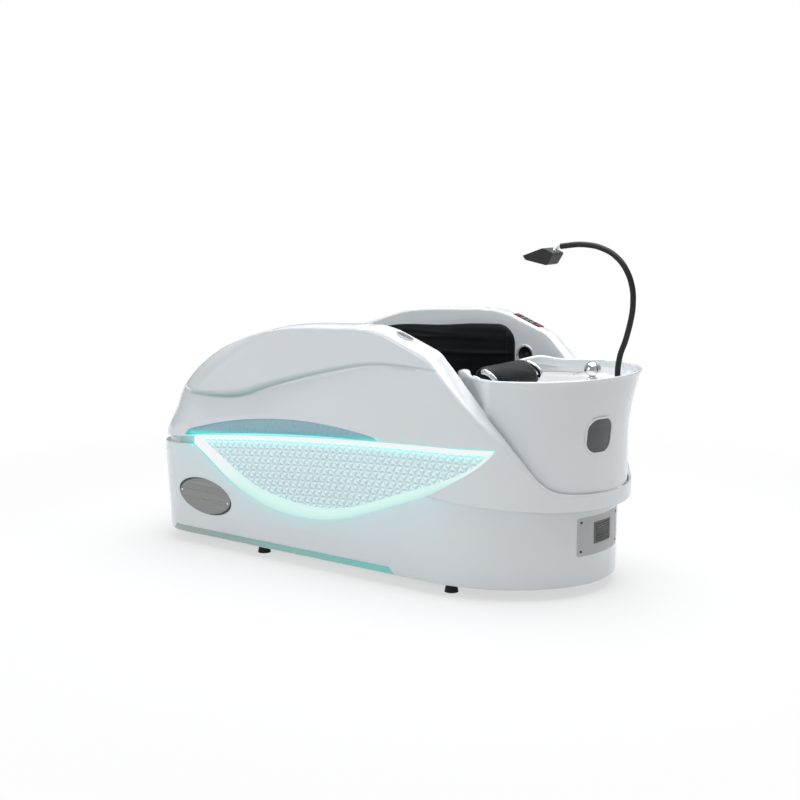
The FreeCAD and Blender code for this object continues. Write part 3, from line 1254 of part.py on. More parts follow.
half_nozzle = S.nozzle_width / 2
head = prism_xz(nozzle_wire(NOZZLE_SHARES), -half_nozzle, half_nozzle)
edge_low = BALL + Vec(NOZZLE_SHARES[6][0], 0, NOZZLE_SHARES[6][1]) * S.nozzle_length
edge_tip = BALL + Vec(NOZZLE_SHARES[7][0], 0, NOZZLE_SHARES[7][1]) * S.nozzle_length
face_line = (edge_tip - edge_low).normalize()
face_turn = FreeCAD.Rotation(Vec(-1, 0, 0), face_line)
face_length = edge_tip.distanceToPoint(edge_low) - 2 * S.nozzle_face_margin
face_place = FreeCAD.Placement(edge_low + face_line * S.nozzle_face_margin, face_turn)
face_half = half_nozzle - S.nozzle_face_margin
plate_box = Part.makeBox(face_length, 2 * face_half, S.nozzle_face_thick, Vec(-face_length, -face_half, 0))
face_plate = placed(plate_box, face_place)
pocket = Part.makeSphere(S.ball_radius + S.ball_gap, BALL)
head = head.cut([face_plate, pocket])
free_form("nozzle_head", head)
free_form("nozzle_face", face_plate)

# Console on the far wing, with its buttons and keys
console = console_block(0).cut(Part.makeBox(S.console_length, S.console_width, S.console_depth + S.overrun,
                                            Vec(-S.console_length / 2, -S.console_width / 2, 0)))
key_places = [(column * S.key_pitch, row * S.key_row_pitch / 2) for column in KEY_COLUMNS for row in KEY_ROWS]
button_places = [(end * S.button_spread / 2, 0) for end in BUTTON_ENDS]
key_base = S.button_proud - S.key_height


def key_block(grow, low):
    return Part.makeBox(S.key_width + 2 * grow, S.key_length + 2 * grow, S.key_pocket + S.overrun,
                        Vec(-S.key_width / 2 - grow, -S.key_length / 2 - grow, low))


for x, y in key_places:
    hole = key_block(S.running_gap, -S.key_pocket)
    hole.translate(Vec(x, y, 0))
    console = console.cut(hole)
for x, y in button_places:
    console = console.cut(Part.makeCylinder(S.button_radius + S.running_gap, S.key_pocket + S.overrun,
                                            Vec(x, y, -S.key_pocket)))
free_form("console_panel", placed(console, CONSOLE_PLACE))
for i, (x, y) in enumerate(button_places, 1):
    button = Part.makeCylinder(S.button_radius, S.key_height, Vec(x, y, key_base))
    free_form("red_button_%d" % i, placed(button, CONSOLE_PLACE))
for i, (x, y) in enumerate(key_places, 1):
    key = Part.makeBox(S.key_width, S.key_length, S.key_height,
                       Vec(x - S.key_width / 2, y - S.key_length / 2, key_base))
    free_form("console_key_%d" % i, placed(key, CONSOLE_PLACE))

# Speaker in the far wing's inner face
cone_y = S.cockpit_half + S.fit_gap
ring = speaker_bar(S.speaker_radius, S.cockpit_half - S.speaker_proud, S.cockpit_half - S.fit_gap)
ring = ring.cut(speaker_bar(S.speaker_radius - S.speaker_ring, S.cockpit_half - S.overrun, S.cockpit_half))
outer_edges = [edge for edge in ring.Edges if abs(edge.BoundBox.YMin - S.cockpit_half + S.speaker_proud) < S.fit_gap]
free_form("speaker_ring", ring.makeChamfer(S.speaker_proud / 3, outer_edges))
cone_radius = S.speaker_radius - S.speaker_ring - S.fit_gap
cone_back = S.cockpit_half + S.cone_depth
bowl_cone = Part.makeCone(cone_radius, cone_radius / 3, S.cone_depth - S.cushion_gap,
                          Vec(SPEAKER_X, S.cockpit_half, SPEAKER_Z), Vec(0, 1, 0))
cone = speaker_bar(cone_radius, S.cockpit_half, cone_back).cut(bowl_cone)
dust_cap = Part.makeSphere(cone_radius / 2, Vec(SPEAKER_X, cone_back, SPEAKER_Z)).common(
    speaker_bar(cone_radius, S.cockpit_half, cone_back))
free_form("speaker_cone", cone.fuse(dust_cap).removeSplitter())
speaker_screws = []
for turn in range(4):
    reach = S.speaker_radius - S.speaker_ring / 2
    centre = Vec(SPEAKER_X + reach * cos(turn * pi / 2), S.cockpit_half - S.speaker_proud - S.speaker_screw_proud,
                 SPEAKER_Z + reach * sin(turn * pi / 2))
    speaker_screws.append(Part.makeCylinder(S.speaker_screw_radius, S.speaker_screw_proud, centre, Vec(0, 1, 0)))
free_form("speaker_screws", Part.makeCompound(speaker_screws))

# Oval touch switch on the near wing
rim_length, rim_width = S.switch_length - 2 * S.fit_gap, S.switch_width - 2 * S.fit_gap
lens_length, lens_width = S.switch_length - 2 * S.switch_rim, S.switch_width - 2 * S.switch_rim
bezel = ellipse_disc(rim_length, rim_width, S.fit_gap - S.switch_depth, S.switch_proud)
bezel = bezel.cut(ellipse_disc(lens_length, lens_width, -S.overrun, S.overrun))
free_form("oval_switch_bezel", placed(bezel, SWITCH_PLACE))
lens = ellipse_disc(lens_length - 2 * S.fit_gap, lens_width - 2 * S.fit_gap, S.fit_gap - S.switch_depth,
                    S.switch_proud / 2)
free_form("oval_switch_lens", placed(lens, SWITCH_PLACE))

doc.recompute()
for obj in doc.Objects:
    if "Invalid" in obj.State or "Error" in obj.State:
        raise RuntimeError("%s did not build: %s" % (obj.Label, obj.State))
for obj in PARTS:
    if obj.Shape.isNull() or not obj.Shape.isValid() or not obj.Shape.Solids:
        raise RuntimeError("%s has no valid solid" % obj.Label)
os.makedirs("parts", exist_ok=True)
for obj in PARTS:
    obj.Shape.exportStep("parts/%s.step" % obj.Label)
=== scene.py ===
"""Looks of the hair washing bed, laid out as an add-on and run as a script over the packed frame."""
import math
from contextlib import contextmanager

import bmesh
import bpy
import numpy as np
from bpy.props import FloatProperty, FloatVectorProperty, PointerProperty
from mathutils import Matrix, Vector


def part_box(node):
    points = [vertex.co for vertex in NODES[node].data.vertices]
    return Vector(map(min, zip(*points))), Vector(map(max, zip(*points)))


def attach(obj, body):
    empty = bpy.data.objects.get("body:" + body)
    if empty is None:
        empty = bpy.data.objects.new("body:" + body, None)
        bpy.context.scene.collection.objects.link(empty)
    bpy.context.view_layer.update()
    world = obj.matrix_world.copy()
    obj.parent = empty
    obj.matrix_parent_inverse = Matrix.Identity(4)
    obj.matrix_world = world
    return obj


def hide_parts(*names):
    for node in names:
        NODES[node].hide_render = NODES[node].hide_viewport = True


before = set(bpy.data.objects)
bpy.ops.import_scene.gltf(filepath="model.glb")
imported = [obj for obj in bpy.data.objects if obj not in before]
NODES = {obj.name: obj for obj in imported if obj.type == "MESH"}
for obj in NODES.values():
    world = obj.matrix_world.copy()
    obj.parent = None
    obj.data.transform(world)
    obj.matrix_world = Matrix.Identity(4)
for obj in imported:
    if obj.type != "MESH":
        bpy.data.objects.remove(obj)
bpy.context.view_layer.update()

bl_info = {
    "name": "Hair washing bed looks",
    "version": (1, 0, 0),
    "blender": (4, 5, 0),
    "location": "3D View > Sidebar > Washing bed",
    "description": "Smooth mouldings, upholstery, fittings and finishes of a hair washing bed",
    "category": "Object",
}

MM = 0.001
NEAR, FAR = -1, 1

# Plan and side lines of the mouldings, in millimetres, and as shares of length and height
LENGTH, HALF, HEIGHT = 2058.0, 462.5, 1003.0
FOOT = -(LENGTH + 65) / 2
HEAD = FOOT + LENGTH
GROUND_GAP, FULL_WIDTH_AT, LEAN_FROM = 45.0, 390.0, 600.0
CORNER, UPPER_SETBACK = 206.0, 8.0
BELT_REACH, BASE_REACH, BASE_INSET = 474.0, 514.0, 52.0
COCKPIT_HALF, FOOT_WALL, COCKPIT_CORNER, BELT_RING = 366.0, 95.0, 110.0, 78.0
FOOT_LEAN = [(0.30, 0.0), (0.442, 0.0), (0.47, 0.002), (0.548, 0.023), (0.658, 0.05), (0.717, 0.075),
             (0.794, 0.12), (0.878, 0.186), (1.012, 0.32)]
WING_ARCH = [(0.100, 0.74), (0.162, 0.828), (0.245, 0.890), (0.330, 0.946), (0.397, 0.974), (0.462, 0.988),
             (0.540, 0.997), (0.607, 1.0), (0.645, 0.984)]
WING_SLOPE = [(0.645, 0.984), (0.718, 0.929), (0.735, 0.912), (0.748, 0.886), (0.870, 0.649)]
WING_RUNOUT = [(0.870, 0.649), (0.908, 0.550), (0.934, 0.467), (0.950, 0.430), (0.968, 0.413), (0.985, 0.407),
               (1.012, 0.4028)]
FACET_SIDE, FACET_FIRST = 35.0, 9.0
FACET_PEAK, FACET_VALLEY, FACET_BACK = 6.0, 12.5, 39.6
WAVE_SHARES = [(0.070, 6, 0.3), (0.15, 20, 0.8), (0.25, 28, 1.0), (0.34, 24, 0.9), (0.45, 17, 0.7),
               (0.60, 12, 0.5), (0.70, 8, 0.3), (0.78, 5, 0.0)]
WAVE = [(0.075, 0.676), (0.110, 0.664), (0.150, 0.656), (0.204, 0.656), (0.267, 0.670), (0.337, 0.715),
        (0.404, 0.758), (0.470, 0.796), (0.533, 0.828), (0.595, 0.8535), (0.655, 0.862), (0.714, 0.861),
        (0.80, 0.854)]
LENS_TOP = [(0.1403, 0.480), (0.497, 0.549), (0.8715, 0.5842)]
LENS_LOW = [(0.1403, 0.437), (0.1748, 0.396), (0.2196, 0.329), (0.2586, 0.283), (0.3144, 0.237),
            (0.3696, 0.212), (0.4303, 0.205), (0.4953, 0.2155), (0.5846, 0.266), (0.6663, 0.326),
            (0.7347, 0.382), (0.7894, 0.442), (0.8328, 0.4996), (0.8561, 0.5402), (0.8675, 0.566),
            (0.8715, 0.5842)]
INNER_TOP = [(0.161, 0.4665), (0.497, 0.527), (0.856, 0.5605)]
INNER_LOW = [(0.161, 0.4665), (0.1934, 0.428), (0.2336, 0.380), (0.2668, 0.341), (0.311, 0.300),
             (0.3665, 0.2745), (0.4104, 0.262), (0.4753, 0.2605), (0.532, 0.2755), (0.5859, 0.309),
             (0.6674, 0.371), (0.7348, 0.421), (0.7893, 0.466), (0.8327, 0.514), (0.856, 0.5605)]
RECESS_TOP = [(0.1265, 0.500), (0.335, 0.590), (0.610, 0.578)]
RECESS_LOW = [(0.150, 0.484), (0.400, 0.5395), (0.6245, 0.562)]
BASIN_WALL = [(0, 0, 0), (0.43, 0, 0), (0.58, 0.13, 0), (0.79, 0.5, 0.15), (0.93, 0.8, 0.65), (1, 1, 1)]
BASIN_GAP = 4.5
BASIN_SEAT, RIM_HEIGHT, RIM_TILT, BASIN_THICK = 405.0, 834.0, 1.6, 8.0
BASIN_REACH, NECK_X, NECK_HALF = 350.0, HEAD + 40 - 622, 222.0
DECK, DECK_THICK, BOWL_DEPTH, BOWL_WALL, DRAIN_RADIUS = 780.0, 12.0, 225.0, 6.0, 24.0
WINDOW_WIDTH, WINDOW_HEIGHT, WINDOW_AT, WINDOW_ASIDE = 133.0, 143.0, 623.0, 97.0
SENSOR, FOCAL_PIXELS, PICTURE_WIDTH = 36.0, 1571.0, 800
CAMERA_PLACE, LOOKING_DOWN, CAMERA_TURN = (3.8985, -5.065, 1.681), 9.20, 37.81
POCKET_DEPTH, RECESS_DEPTH, CUTTER_REACH = 40.0, 30.0, 520.0
CONSOLE_LONG, CONSOLE_WIDE, CONSOLE_DEEP, CONSOLE_GAP = 136.0, 46.0, 14.0, 0.3
SWITCH_LONG, SWITCH_WIDE, SWITCH_DEEP = 88.0, 46.0, 10.0
SPEAKER_AT, SPEAKER_BORE = (0.6825, 0.8195), 35.0
LINING_TOP = [(0.084, 0.598), (0.191, 0.798), (0.3076, 0.882), (0.351, 0.900), (0.471, 0.917), (0.555, 0.934),
              (0.612, 0.940)]


def at_length(share):
    return FOOT + share * LENGTH


def at_height(share):
    return share * HEIGHT


def drawn(shares):
    """Outline points in millimetres from shares of length and height."""
    return [(at_length(x), at_height(z)) for x, z in shares]


def fair_curve(points, count=200):
    """A smooth curve through a few drawn points, as many small steps."""
    points = np.array(points, float)
    steps = np.concatenate([[0], np.cumsum(np.linalg.norm(np.diff(points, axis=0), axis=1))])
    size = len(points)
    gaps = np.diff(steps)
    matrix, right = np.zeros((size, size)), np.zeros((size, points.shape[1]))
    matrix[0, 0] = matrix[-1, -1] = 1
    for i in range(1, size - 1):
        matrix[i, i - 1:i + 2] = gaps[i - 1], 2 * (gaps[i - 1] + gaps[i]), gaps[i]
        right[i] = 6 * ((points[i + 1] - points[i]) / gaps[i] - (points[i] - points[i - 1]) / gaps[i - 1])
    bend = np.linalg.solve(matrix, right)
    t = np.linspace(0, steps[-1], count)
    k = np.clip(np.searchsorted(steps, t, side="right") - 1, 0, size - 2)
    gap = gaps[k][:, None]
    ahead, behind = (steps[k + 1] - t)[:, None], (t - steps[k])[:, None]
    return (bend[k] * ahead ** 3 / (6 * gap) + bend[k + 1] * behind ** 3 / (6 * gap)
            + (points[k] / gap - bend[k] * gap / 6) * ahead
            + (points[k + 1] / gap - bend[k + 1] * gap / 6) * behind)


def height_over(points, smooth=True):
    """Height as a function of X along a drawn outline."""
    line = fair_curve(points) if smooth else np.array(points, float)
    order = np.argsort(line[:, 0])
    return lambda x: np.interp(x, line[order, 0], line[order, 1])


def circle_through(first, middle, last):
    """Middle, radius and first and last angle of the arc through three points."""
    (ax, ay), (bx, by), (cx, cy) = first, middle, last
    d = 2 * (ax * (by - cy) + bx * (cy - ay) + cx * (ay - by))
    a, b, c = ax * ax + ay * ay, bx * bx + by * by, cx * cx + cy * cy
    ux = (a * (by - cy) + b * (cy - ay) + c * (ay - by)) / d
    uy = (a * (cx - bx) + b * (ax - cx) + c * (bx - ax)) / d
    turns = np.unwrap([math.atan2(y - uy, x - ux) for x, y in (first, middle, last)])
    return ux, uy, math.hypot(ax - ux, ay - uy), turns[0], turns[2]


def arc_through(first, middle, last, count=80):
    """Points of the circular arc through three points."""
    ux, uy, radius, start, end = circle_through(first, middle, last)
    angles = np.linspace(start, end, count)
    return np.stack([ux + radius * np.cos(angles), uy + radius * np.sin(angles)], axis=1)


def soft_step(value, low, high):
    t = np.clip((np.asarray(value, float) - low) / (high - low), 0, 1)
    return t * t * (3 - 2 * t)


def side_half(z, inset=0.0):
    """Half width of the mouldings' sides at a height."""
    z = np.asarray(z, float)
    low = 23.0 * np.clip((FULL_WIDTH_AT - z) / (FULL_WIDTH_AT - GROUND_GAP), 0, None)
    high = 8.0 * np.clip((z - LEAN_FROM) / (HEIGHT - LEAN_FROM), 0, None)
    return HALF - inset - low - high


def eased(values, rounds):
    """A run of values with its kinks worn down."""
    values = np.array(values, float)
    for _ in range(rounds):
        values[1:-1] = 0.25 * values[:-2] + 0.5 * values[1:-1] + 0.25 * values[2:]
    return values


class Plan:
    """Stations round one side of a moulding's plan: foot wall, foot corner, straight side and head curve."""

    def __init__(self, foot=10, corner=26, side=190, head=90):
        part, share = [], []
        for index, count in enumerate((foot, corner, side, head)):
            steps = np.linspace(0, 1, count, endpoint=index == 3)
            part += [index] * count
            share += list(steps)
        self.part = np.array(part)
        self.share = np.array(share)

    def points(self, foot, head, half, reach, corner=CORNER):
        foot, half = np.broadcast_to(foot, self.share.shape), np.broadcast_to(half, self.share.shape)
        share, turn = self.share, self.share * math.pi / 2
        x = np.choose(self.part, [foot + 0 * share, foot + corner * (1 - np.cos(turn)),
                                  foot + corner + share * (head - reach - foot - corner),
                                  head - reach + reach * np.sin(turn)])
        y = np.choose(self.part, [-share * (half - corner), -(half - corner) - corner * np.sin(turn), -half,
                                  -half * np.cos(turn)])
        return np.stack([x, y], axis=1)

    def inward(self, half, reach):
        turn = self.share * math.pi / 2
        nx = np.choose(self.part, [1 + 0 * turn, np.cos(turn), 0 * turn, -np.sin(turn) / reach])
        ny = np.choose(self.part, [0 * turn, np.sin(turn), 1 + 0 * turn, np.cos(turn) / half])
        length = np.hypot(nx, ny)
        return np.stack([nx / length, ny / length], axis=1)


def build_mesh(name, vertices, faces, smooth=True, angle=None):
    """A new mesh object from points in millimetres."""
    mesh = bpy.data.meshes.new(name)
    mesh.from_pydata([tuple(p) for p in np.asarray(vertices, float) * MM], [], faces)
    mesh.validate()
    obj = bpy.data.objects.new(name, mesh)
    bpy.context.scene.collection.objects.link(obj)
    if smooth:
        mesh.shade_smooth()
    if angle:
        mesh.set_sharp_from_angle(angle=math.radians(angle))
    return obj


def lattice(name, rows, round_rows=False, round_columns=False, caps=False, angle=None):
    """A skin over rows of points, joined up in either direction."""
    rows = np.asarray(rows, float)
    count, width = rows.shape[:2]
    faces = []
    for i in range(count if round_rows else count - 1):
        for j in range(width if round_columns else width - 1):
            i2, j2 = (i + 1) % count, (j + 1) % width
            faces.append((i * width + j, i * width + j2, i2 * width + j2, i2 * width + j))
    if caps:
        faces.append(tuple(reversed(range(width))))
        faces.append(tuple((count - 1) * width + j for j in range(width)))
    return build_mesh(name, rows.reshape(-1, 3), faces, angle=angle)


@contextmanager
def opened(obj):
    """A piece's mesh opened for editing, and written back afterwards."""
    work = bmesh.new()
    work.from_mesh(obj.data)
    yield work
    work.to_mesh(obj.data)
    work.free()


def discard(obj):
    mesh = obj.data
    bpy.data.objects.remove(obj)
    bpy.data.meshes.remove(mesh)


def face_outward(obj):
    with opened(obj) as work:
        bmesh.ops.recalc_face_normals(work, faces=work.faces)
    return obj


def closed_tube(name, rows, angle=None):
    """A capped tube through rings of points, its faces turned outward."""
    return face_outward(lattice(name, rows, round_columns=True, caps=True, angle=angle))


def closed_ring(name, near_rows):
    """A skin closed both ways, from the rows of one side."""
    return face_outward(lattice(name, both_halves(near_rows), round_rows=True, round_columns=True))


def both_halves(near_rows):
    """A closed ring of stations from one side's rows: near side, then the far side back to the foot."""
    near_rows = np.asarray(near_rows, float)
    far = near_rows[:, ::-1][:, 1:-1].copy()
    far[:, :, 1] *= -1
    return np.concatenate([near_rows, far], axis=1)


def mirrored_copy(obj, name):
    copy = obj.copy()
    copy.data = obj.data.copy()
    copy.name = copy.data.name = name
    copy.data.transform(Matrix.Scale(-1, 4, Vector((0, 1, 0))))
    copy.data.flip_normals()
    bpy.context.scene.collection.objects.link(copy)
    return copy


def settle(obj):
    """Apply every modifier of a piece."""
    bpy.context.view_layer.objects.active = obj
    bpy.context.view_layer.update()
    held = bpy.data.meshes.new_from_object(obj.evaluated_get(bpy.context.evaluated_depsgraph_get()))
    obj.modifiers.clear()
    old = obj.data
    obj.data = held
    held.name = obj.name
    bpy.data.meshes.remove(old)
    return obj


def cut_with(obj, tools):
    """Cut a piece with closed tools, which are then thrown away."""
    for tool in tools:
        cut = obj.modifiers.new("cut", "BOOLEAN")
        cut.operation, cut.solver, cut.object = "DIFFERENCE", "EXACT", tool
    settle(obj)
    for tool in tools:
        discard(tool)
    return obj


def crisp(obj, angle=32):
    obj.data.shade_smooth()
    obj.data.set_sharp_from_angle(angle=math.radians(angle))
    return obj


def node_copy(node, name, weld=0.00002):
    """A free copy of a packed piece's mesh with its seams welded."""
    mesh = NODES[node].data.copy()
    mesh.name = name
    mesh.materials.clear()
    obj = bpy.data.objects.new(name, mesh)
    bpy.context.scene.collection.objects.link(obj)
    with opened(obj) as work:
        bmesh.ops.remove_doubles(work, verts=work.verts, dist=weld)
    return obj


def finish_piece(obj, body, slot, material, *nodes):
    """Give a piece its material, its body and slot, and the packed pieces that it stands for."""
    obj.data.materials.clear()
    obj.data.materials.append(material)
    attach(obj, body)
    if nodes:
        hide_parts(*nodes)
    return obj


def paint(material, *names):
    """Give packed pieces their material."""
    for name in names:
        mesh = NODES[name].data
        if not mesh.materials:
            mesh.materials.append(material)
        for index in range(len(mesh.materials)):
            mesh.materials[index] = material
        for slot in NODES[name].material_slots:
            slot.material = material


class Signal:
    """A socket of a material, on which sums are written as ordinary expressions."""

    def __init__(self, finish, socket):
        self.finish, self.socket = finish, socket

    def sum_of(self, operation, left, right=None):
        values = {0: left} if right is None else {0: left, 1: right}
        return self.finish.add("ShaderNodeMath", {"operation": operation}, values)

    def __add__(self, other):
        return self.sum_of("ADD", self, other)

    __radd__ = __add__

    def __sub__(self, other):
        return self.sum_of("SUBTRACT", self, other)

    def __rsub__(self, other):
        return self.sum_of("SUBTRACT", other, self)

    def __mul__(self, other):
        return self.sum_of("MULTIPLY", self, other)

    __rmul__ = __mul__

    def __truediv__(self, other):
        return self.sum_of("DIVIDE", self, other)

    def __pow__(self, other):
        return self.sum_of("POWER", self, other)

    def held(self):
        """The value kept between nought and one."""
        return self.finish.add("ShaderNodeClamp", {}, {0: self})


def linear(colour):
    """A written colour as light values."""
    parts = [part / 12.92 if part <= 0.04045 else ((part + 0.055) / 1.055) ** 2.4 for part in colour[:3]]
    return (*parts, 1.0)


class Finish:
    """One procedural material."""

    def __init__(self, name, colour, roughness, metallic=0.0, coat=0.0, **constants):
        self.material = bpy.data.materials.new(name)
        self.material.use_nodes = True
        self.tree = self.material.node_tree
        self.tree.nodes.clear()
        self.output = self.tree.nodes.new("ShaderNodeOutputMaterial")
        self.shader = self.tree.nodes.new("ShaderNodeBsdfPrincipled")
        self.tree.links.new(self.shader.outputs[0], self.output.inputs[0])
        self.set("Base Color", linear(colour))
        self.set("Roughness", roughness)
        self.set("Metallic", metallic)
        self.set("Coat Weight", coat)
        self.material.diffuse_color = linear(colour)
        for key, value in constants.items():
            self.set(key.replace("_", " ").title().replace("Ior", "IOR"), value)

    def set(self, key, value):
        if isinstance(value, Signal):
            self.tree.links.new(value.socket, self.shader.inputs[key])
        else:
            self.shader.inputs[key].default_value = value

    def add(self, kind, settings, values, output=0):
        """A node of one type, with its settings first and then its sockets' values or links."""
        node = self.tree.nodes.new(kind)
        for key, value in settings.items():
            if key == "stops":
                ramp = node.color_ramp
                while len(ramp.elements) < len(value):
                    ramp.elements.new(0.5)
                for element, (place, colour) in zip(ramp.elements, value):
                    element.position, element.color = place, colour
            else:
                setattr(node, key, value)
        for key, value in values.items():
            if isinstance(value, Signal):
                self.tree.links.new(value.socket, node.inputs[key])
            else:
                node.inputs[key].default_value = value
        return Signal(self, node.outputs[output])

    def place(self, kind="Object"):
        return self.add("ShaderNodeTexCoord", {}, {}, kind)

    def stretched(self, vector, scale):
        return self.add("ShaderNodeMapping", {}, {"Vector": vector, "Scale": scale})

    def noise(self, vector, scale, detail=3.0, roughness=0.5, distortion=0.0):
        return self.add("ShaderNodeTexNoise", {}, {"Vector": vector, "Scale": scale, "Detail": detail,
                                                   "Roughness": roughness, "Distortion": distortion})

    def cells(self, vector, scale, feature="F1"):
        return self.add("ShaderNodeTexVoronoi", {"feature": feature}, {"Vector": vector, "Scale": scale})

    def ramp(self, factor, *stops):
        return self.add("ShaderNodeValToRGB", {"stops": stops}, {0: factor})

    def span(self, value, low, high, to_low=0.0, to_high=1.0):
        return self.add("ShaderNodeMapRange", {}, {0: value, 1: low, 2: high, 3: to_low, 4: to_high})

    def blend(self, factor, first, second):
        return self.add("ShaderNodeMix", {"data_type": "RGBA"}, {0: factor, 6: first, 7: second}, 2)

    def relief(self, height, distance, strength=1.0, normal=None):
        values = {"Height": height, "Distance": distance, "Strength": strength}
        if normal:
            values["Normal"] = normal
        self.bump = self.add("ShaderNodeBump", {}, values)
        self.set("Normal", self.bump)
        return self.bump

    def speckled(self, pattern, low, high, gloss, relief=None, ends=(0.3, 0.7)):
        """Tint and gloss, and relief where it is given, that all follow one pattern."""
        self.set("Base Color", self.blend(pattern, linear(low), linear(high)))
        self.set("Roughness", self.span(pattern, *ends, *gloss))
        if relief:
            self.relief(pattern, *relief)
        return self

    def axes(self, vector):
        node = self.tree.nodes.new("ShaderNodeSeparateXYZ")
        self.tree.links.new(vector.socket, node.inputs[0])
        return [Signal(self, socket) for socket in node.outputs]


MADE = {}


def once(maker):
    """Keep one material for each maker."""
    def kept():
        if maker.__name__ not in MADE:
            MADE[maker.__name__] = maker().material
        return MADE[maker.__name__]
    return kept


def tone(colour, gain):
    return tuple(min(1.0, part * gain) for part in colour)


def settings():
    return bpy.context.scene.washing_bed


@once
def gelcoat():
    """Hand polished white gelcoat: faint mottling, a soft long wave in the gloss and fine dust."""
    white = tuple(settings().shell_colour)
    made = Finish("White gelcoat", white, 0.16, coat=0.55, coat_roughness=0.04, ior=1.5)
    place = made.place()
    cloud = made.noise(place, 3.0, 2.0)
    body = made.blend(cloud, linear(tone(white, 0.985)), linear(white))
    # Painted shade: teal grey blended in under the wave's overhang and in the groove at the foot end.
    shade = made.add("ShaderNodeAttribute", {"attribute_name": "wave_shade"}, {}, 2)
    # Painted light: aqua colour and glow where the light bands would light the shell.
    spill = made.add("ShaderNodeAttribute", {"attribute_name": "band_spill"}, {}, 2)
    body = made.blend(shade, body, linear((0.55, 0.67, 0.675)))
    made.set("Base Color", made.blend(spill, body, linear((0.55, 0.93, 0.92))))
    made.set("Emission Color", made.blend(spill, (0, 0, 0, 1), linear((0.40, 0.92, 0.90))))
    made.set("Emission Strength", 0.4)
    haze = made.noise(place, 22.0, 4.0, 0.6)
    made.set("Roughness", made.span(haze, 0.3, 0.7, 0.12, 0.2))
    made.relief(made.noise(place, 9.0, 1.0), 0.0008, 0.25)
    return made


@once
def bowl_white():
    """Whiter, harder gloss of the washing bowl."""
    made = Finish("White bowl", (0.93, 0.935, 0.94), 0.1, coat=0.6, coat_roughness=0.03, ior=1.5)
    place = made.place()
    made.set("Base Color", made.blend(made.noise(place, 5.0, 3.0), linear((0.91, 0.918, 0.924)),
                                      linear((0.935, 0.94, 0.944))))
    made.set("Roughness", made.span(made.noise(place, 30.0, 4.0), 0.3, 0.7, 0.07, 0.14))
    made.relief(made.noise(place, 14.0, 1.0), 0.0006, 0.2)
    return made


@once
def glowing_facets():
    """Frosted faceted acrylic, lit from its edges by the light bands."""
    made = Finish("Frosted facets", (0.76, 0.82, 0.84), 0.3, coat=0.2, coat_roughness=0.15, ior=1.49)
    place = made.place()
    glow = made.add("ShaderNodeAttribute", {"attribute_name": "edge_glow"}, {}, 2)
    lit = made.add("ShaderNodeAttribute", {"attribute_name": "face_light"}, {}, 2)
    grain = made.noise(place, 160.0, 3.0)
    frost_and_painted_light = made.blend(grain, linear((0.56, 0.605, 0.63)), linear((0.60, 0.64, 0.665)))
    # Painted light and shade: faces turned up are painted paler, faces turned down stay darker.
    frost_and_painted_light = made.blend(lit, frost_and_painted_light, linear((0.85, 0.90, 0.90)))
    # Painted glow of the bands: aqua and white tints near the upper band's edge.
    by_band = made.blend(lit, linear((0.48, 0.86, 0.86)), linear((0.92, 0.96, 0.96)))
    made.set("Base Color", made.blend(glow, frost_and_painted_light, by_band))
    # Painted glow: the emission follows the same face light and band glow.
    inside = made.blend(lit, linear((0.64, 0.70, 0.735)), linear(tuple(settings().glow_colour)))
    in_band = made.blend(lit, linear((0.50, 0.95, 0.93)), (1, 1, 1, 1))
    made.set("Emission Color", made.blend(glow, inside, in_band))
    made.set("Emission Strength", settings().facet_glow)
    made.set("Roughness", made.span(grain, 0.3, 0.7, 0.24, 0.36))
    made.relief(grain, 0.0002, 0.12)
    return made


@once
def light_diffuser():
    """Milky strip over the lamps: white in the middle and aqua at both edges."""
    made = Finish("Lit diffuser", (0.85, 0.97, 0.96), 0.35, ior=1.49, specular_ior_level=0.2)
    across = made.axes(made.place("UV"))
    white = linear((0.965, 0.965, 0.965))
    upper = made.ramp(across[1], (0.0, linear((0.34, 0.88, 0.87))), (0.08, linear((0.55, 0.93, 0.92))),
                      (0.17, white), (1.0, white))
    lower = made.ramp(across[1], (0.0, linear((0.72, 0.86, 0.86))), (0.14, linear((0.78, 0.93, 0.91))),
                      (0.45, linear((0.825, 0.96, 0.93))), (0.80, linear((0.86, 0.97, 0.95))),
                      (1.0, linear((0.83, 0.96, 0.94))))
    tinted = made.blend(across[0], lower, upper)
    made.set("Emission Color", tinted)
    made.set("Emission Strength", settings().band_glow)
    made.set("Base Color", (0.02, 0.03, 0.03, 1))
    made.set("Roughness", made.span(made.noise(made.place(), 90.0), 0.3, 0.7, 0.3, 0.42))
    return made


@once
def recess_blue():
    """Satin blue grey of the arc above the lens, going aqua towards the light."""
    made = Finish("Recess blue grey", (0.56, 0.69, 0.73), 0.3, coat=0.25, coat_roughness=0.1)
    place = made.place()
    x, _, z = made.axes(place)
    low = 0.4855 + (x - at_length(0.150) * MM) * 0.0803
    # Painted light: aqua colour and glow along the lower edge, next to the light band.
    painted_band_glow = made.span(z - low, 0.0, 0.026, 1.0, 0.0) ** 2.0
    made.set("Base Color", made.blend(painted_band_glow, linear((0.60, 0.745, 0.79)), linear((0.42, 0.90, 0.89))))
    made.set("Emission Color", made.blend(painted_band_glow, (0, 0, 0, 1), linear((0.30, 0.86, 0.85))))
    made.set("Emission Strength", 0.45)
    made.set("Roughness", made.span(made.noise(place, 60.0, 4.0), 0.3, 0.7, 0.24, 0.36))
    made.relief(made.noise(place, 400.0, 2.0), 0.0002, 0.04)
    return made


def brushed(name, colour, low, high, scale, roughness):
    """Brushed metal, its grain drawn out along one axis."""
    made = Finish(name, colour, roughness, metallic=1.0)
    grain = made.noise(made.stretched(made.place(), scale), 1.0, 6.0, 0.65)
    return made.speckled(grain, tone(colour, low), tone(colour, high),
                         (roughness - 0.08, roughness + 0.1), (0.0002, 0.35))


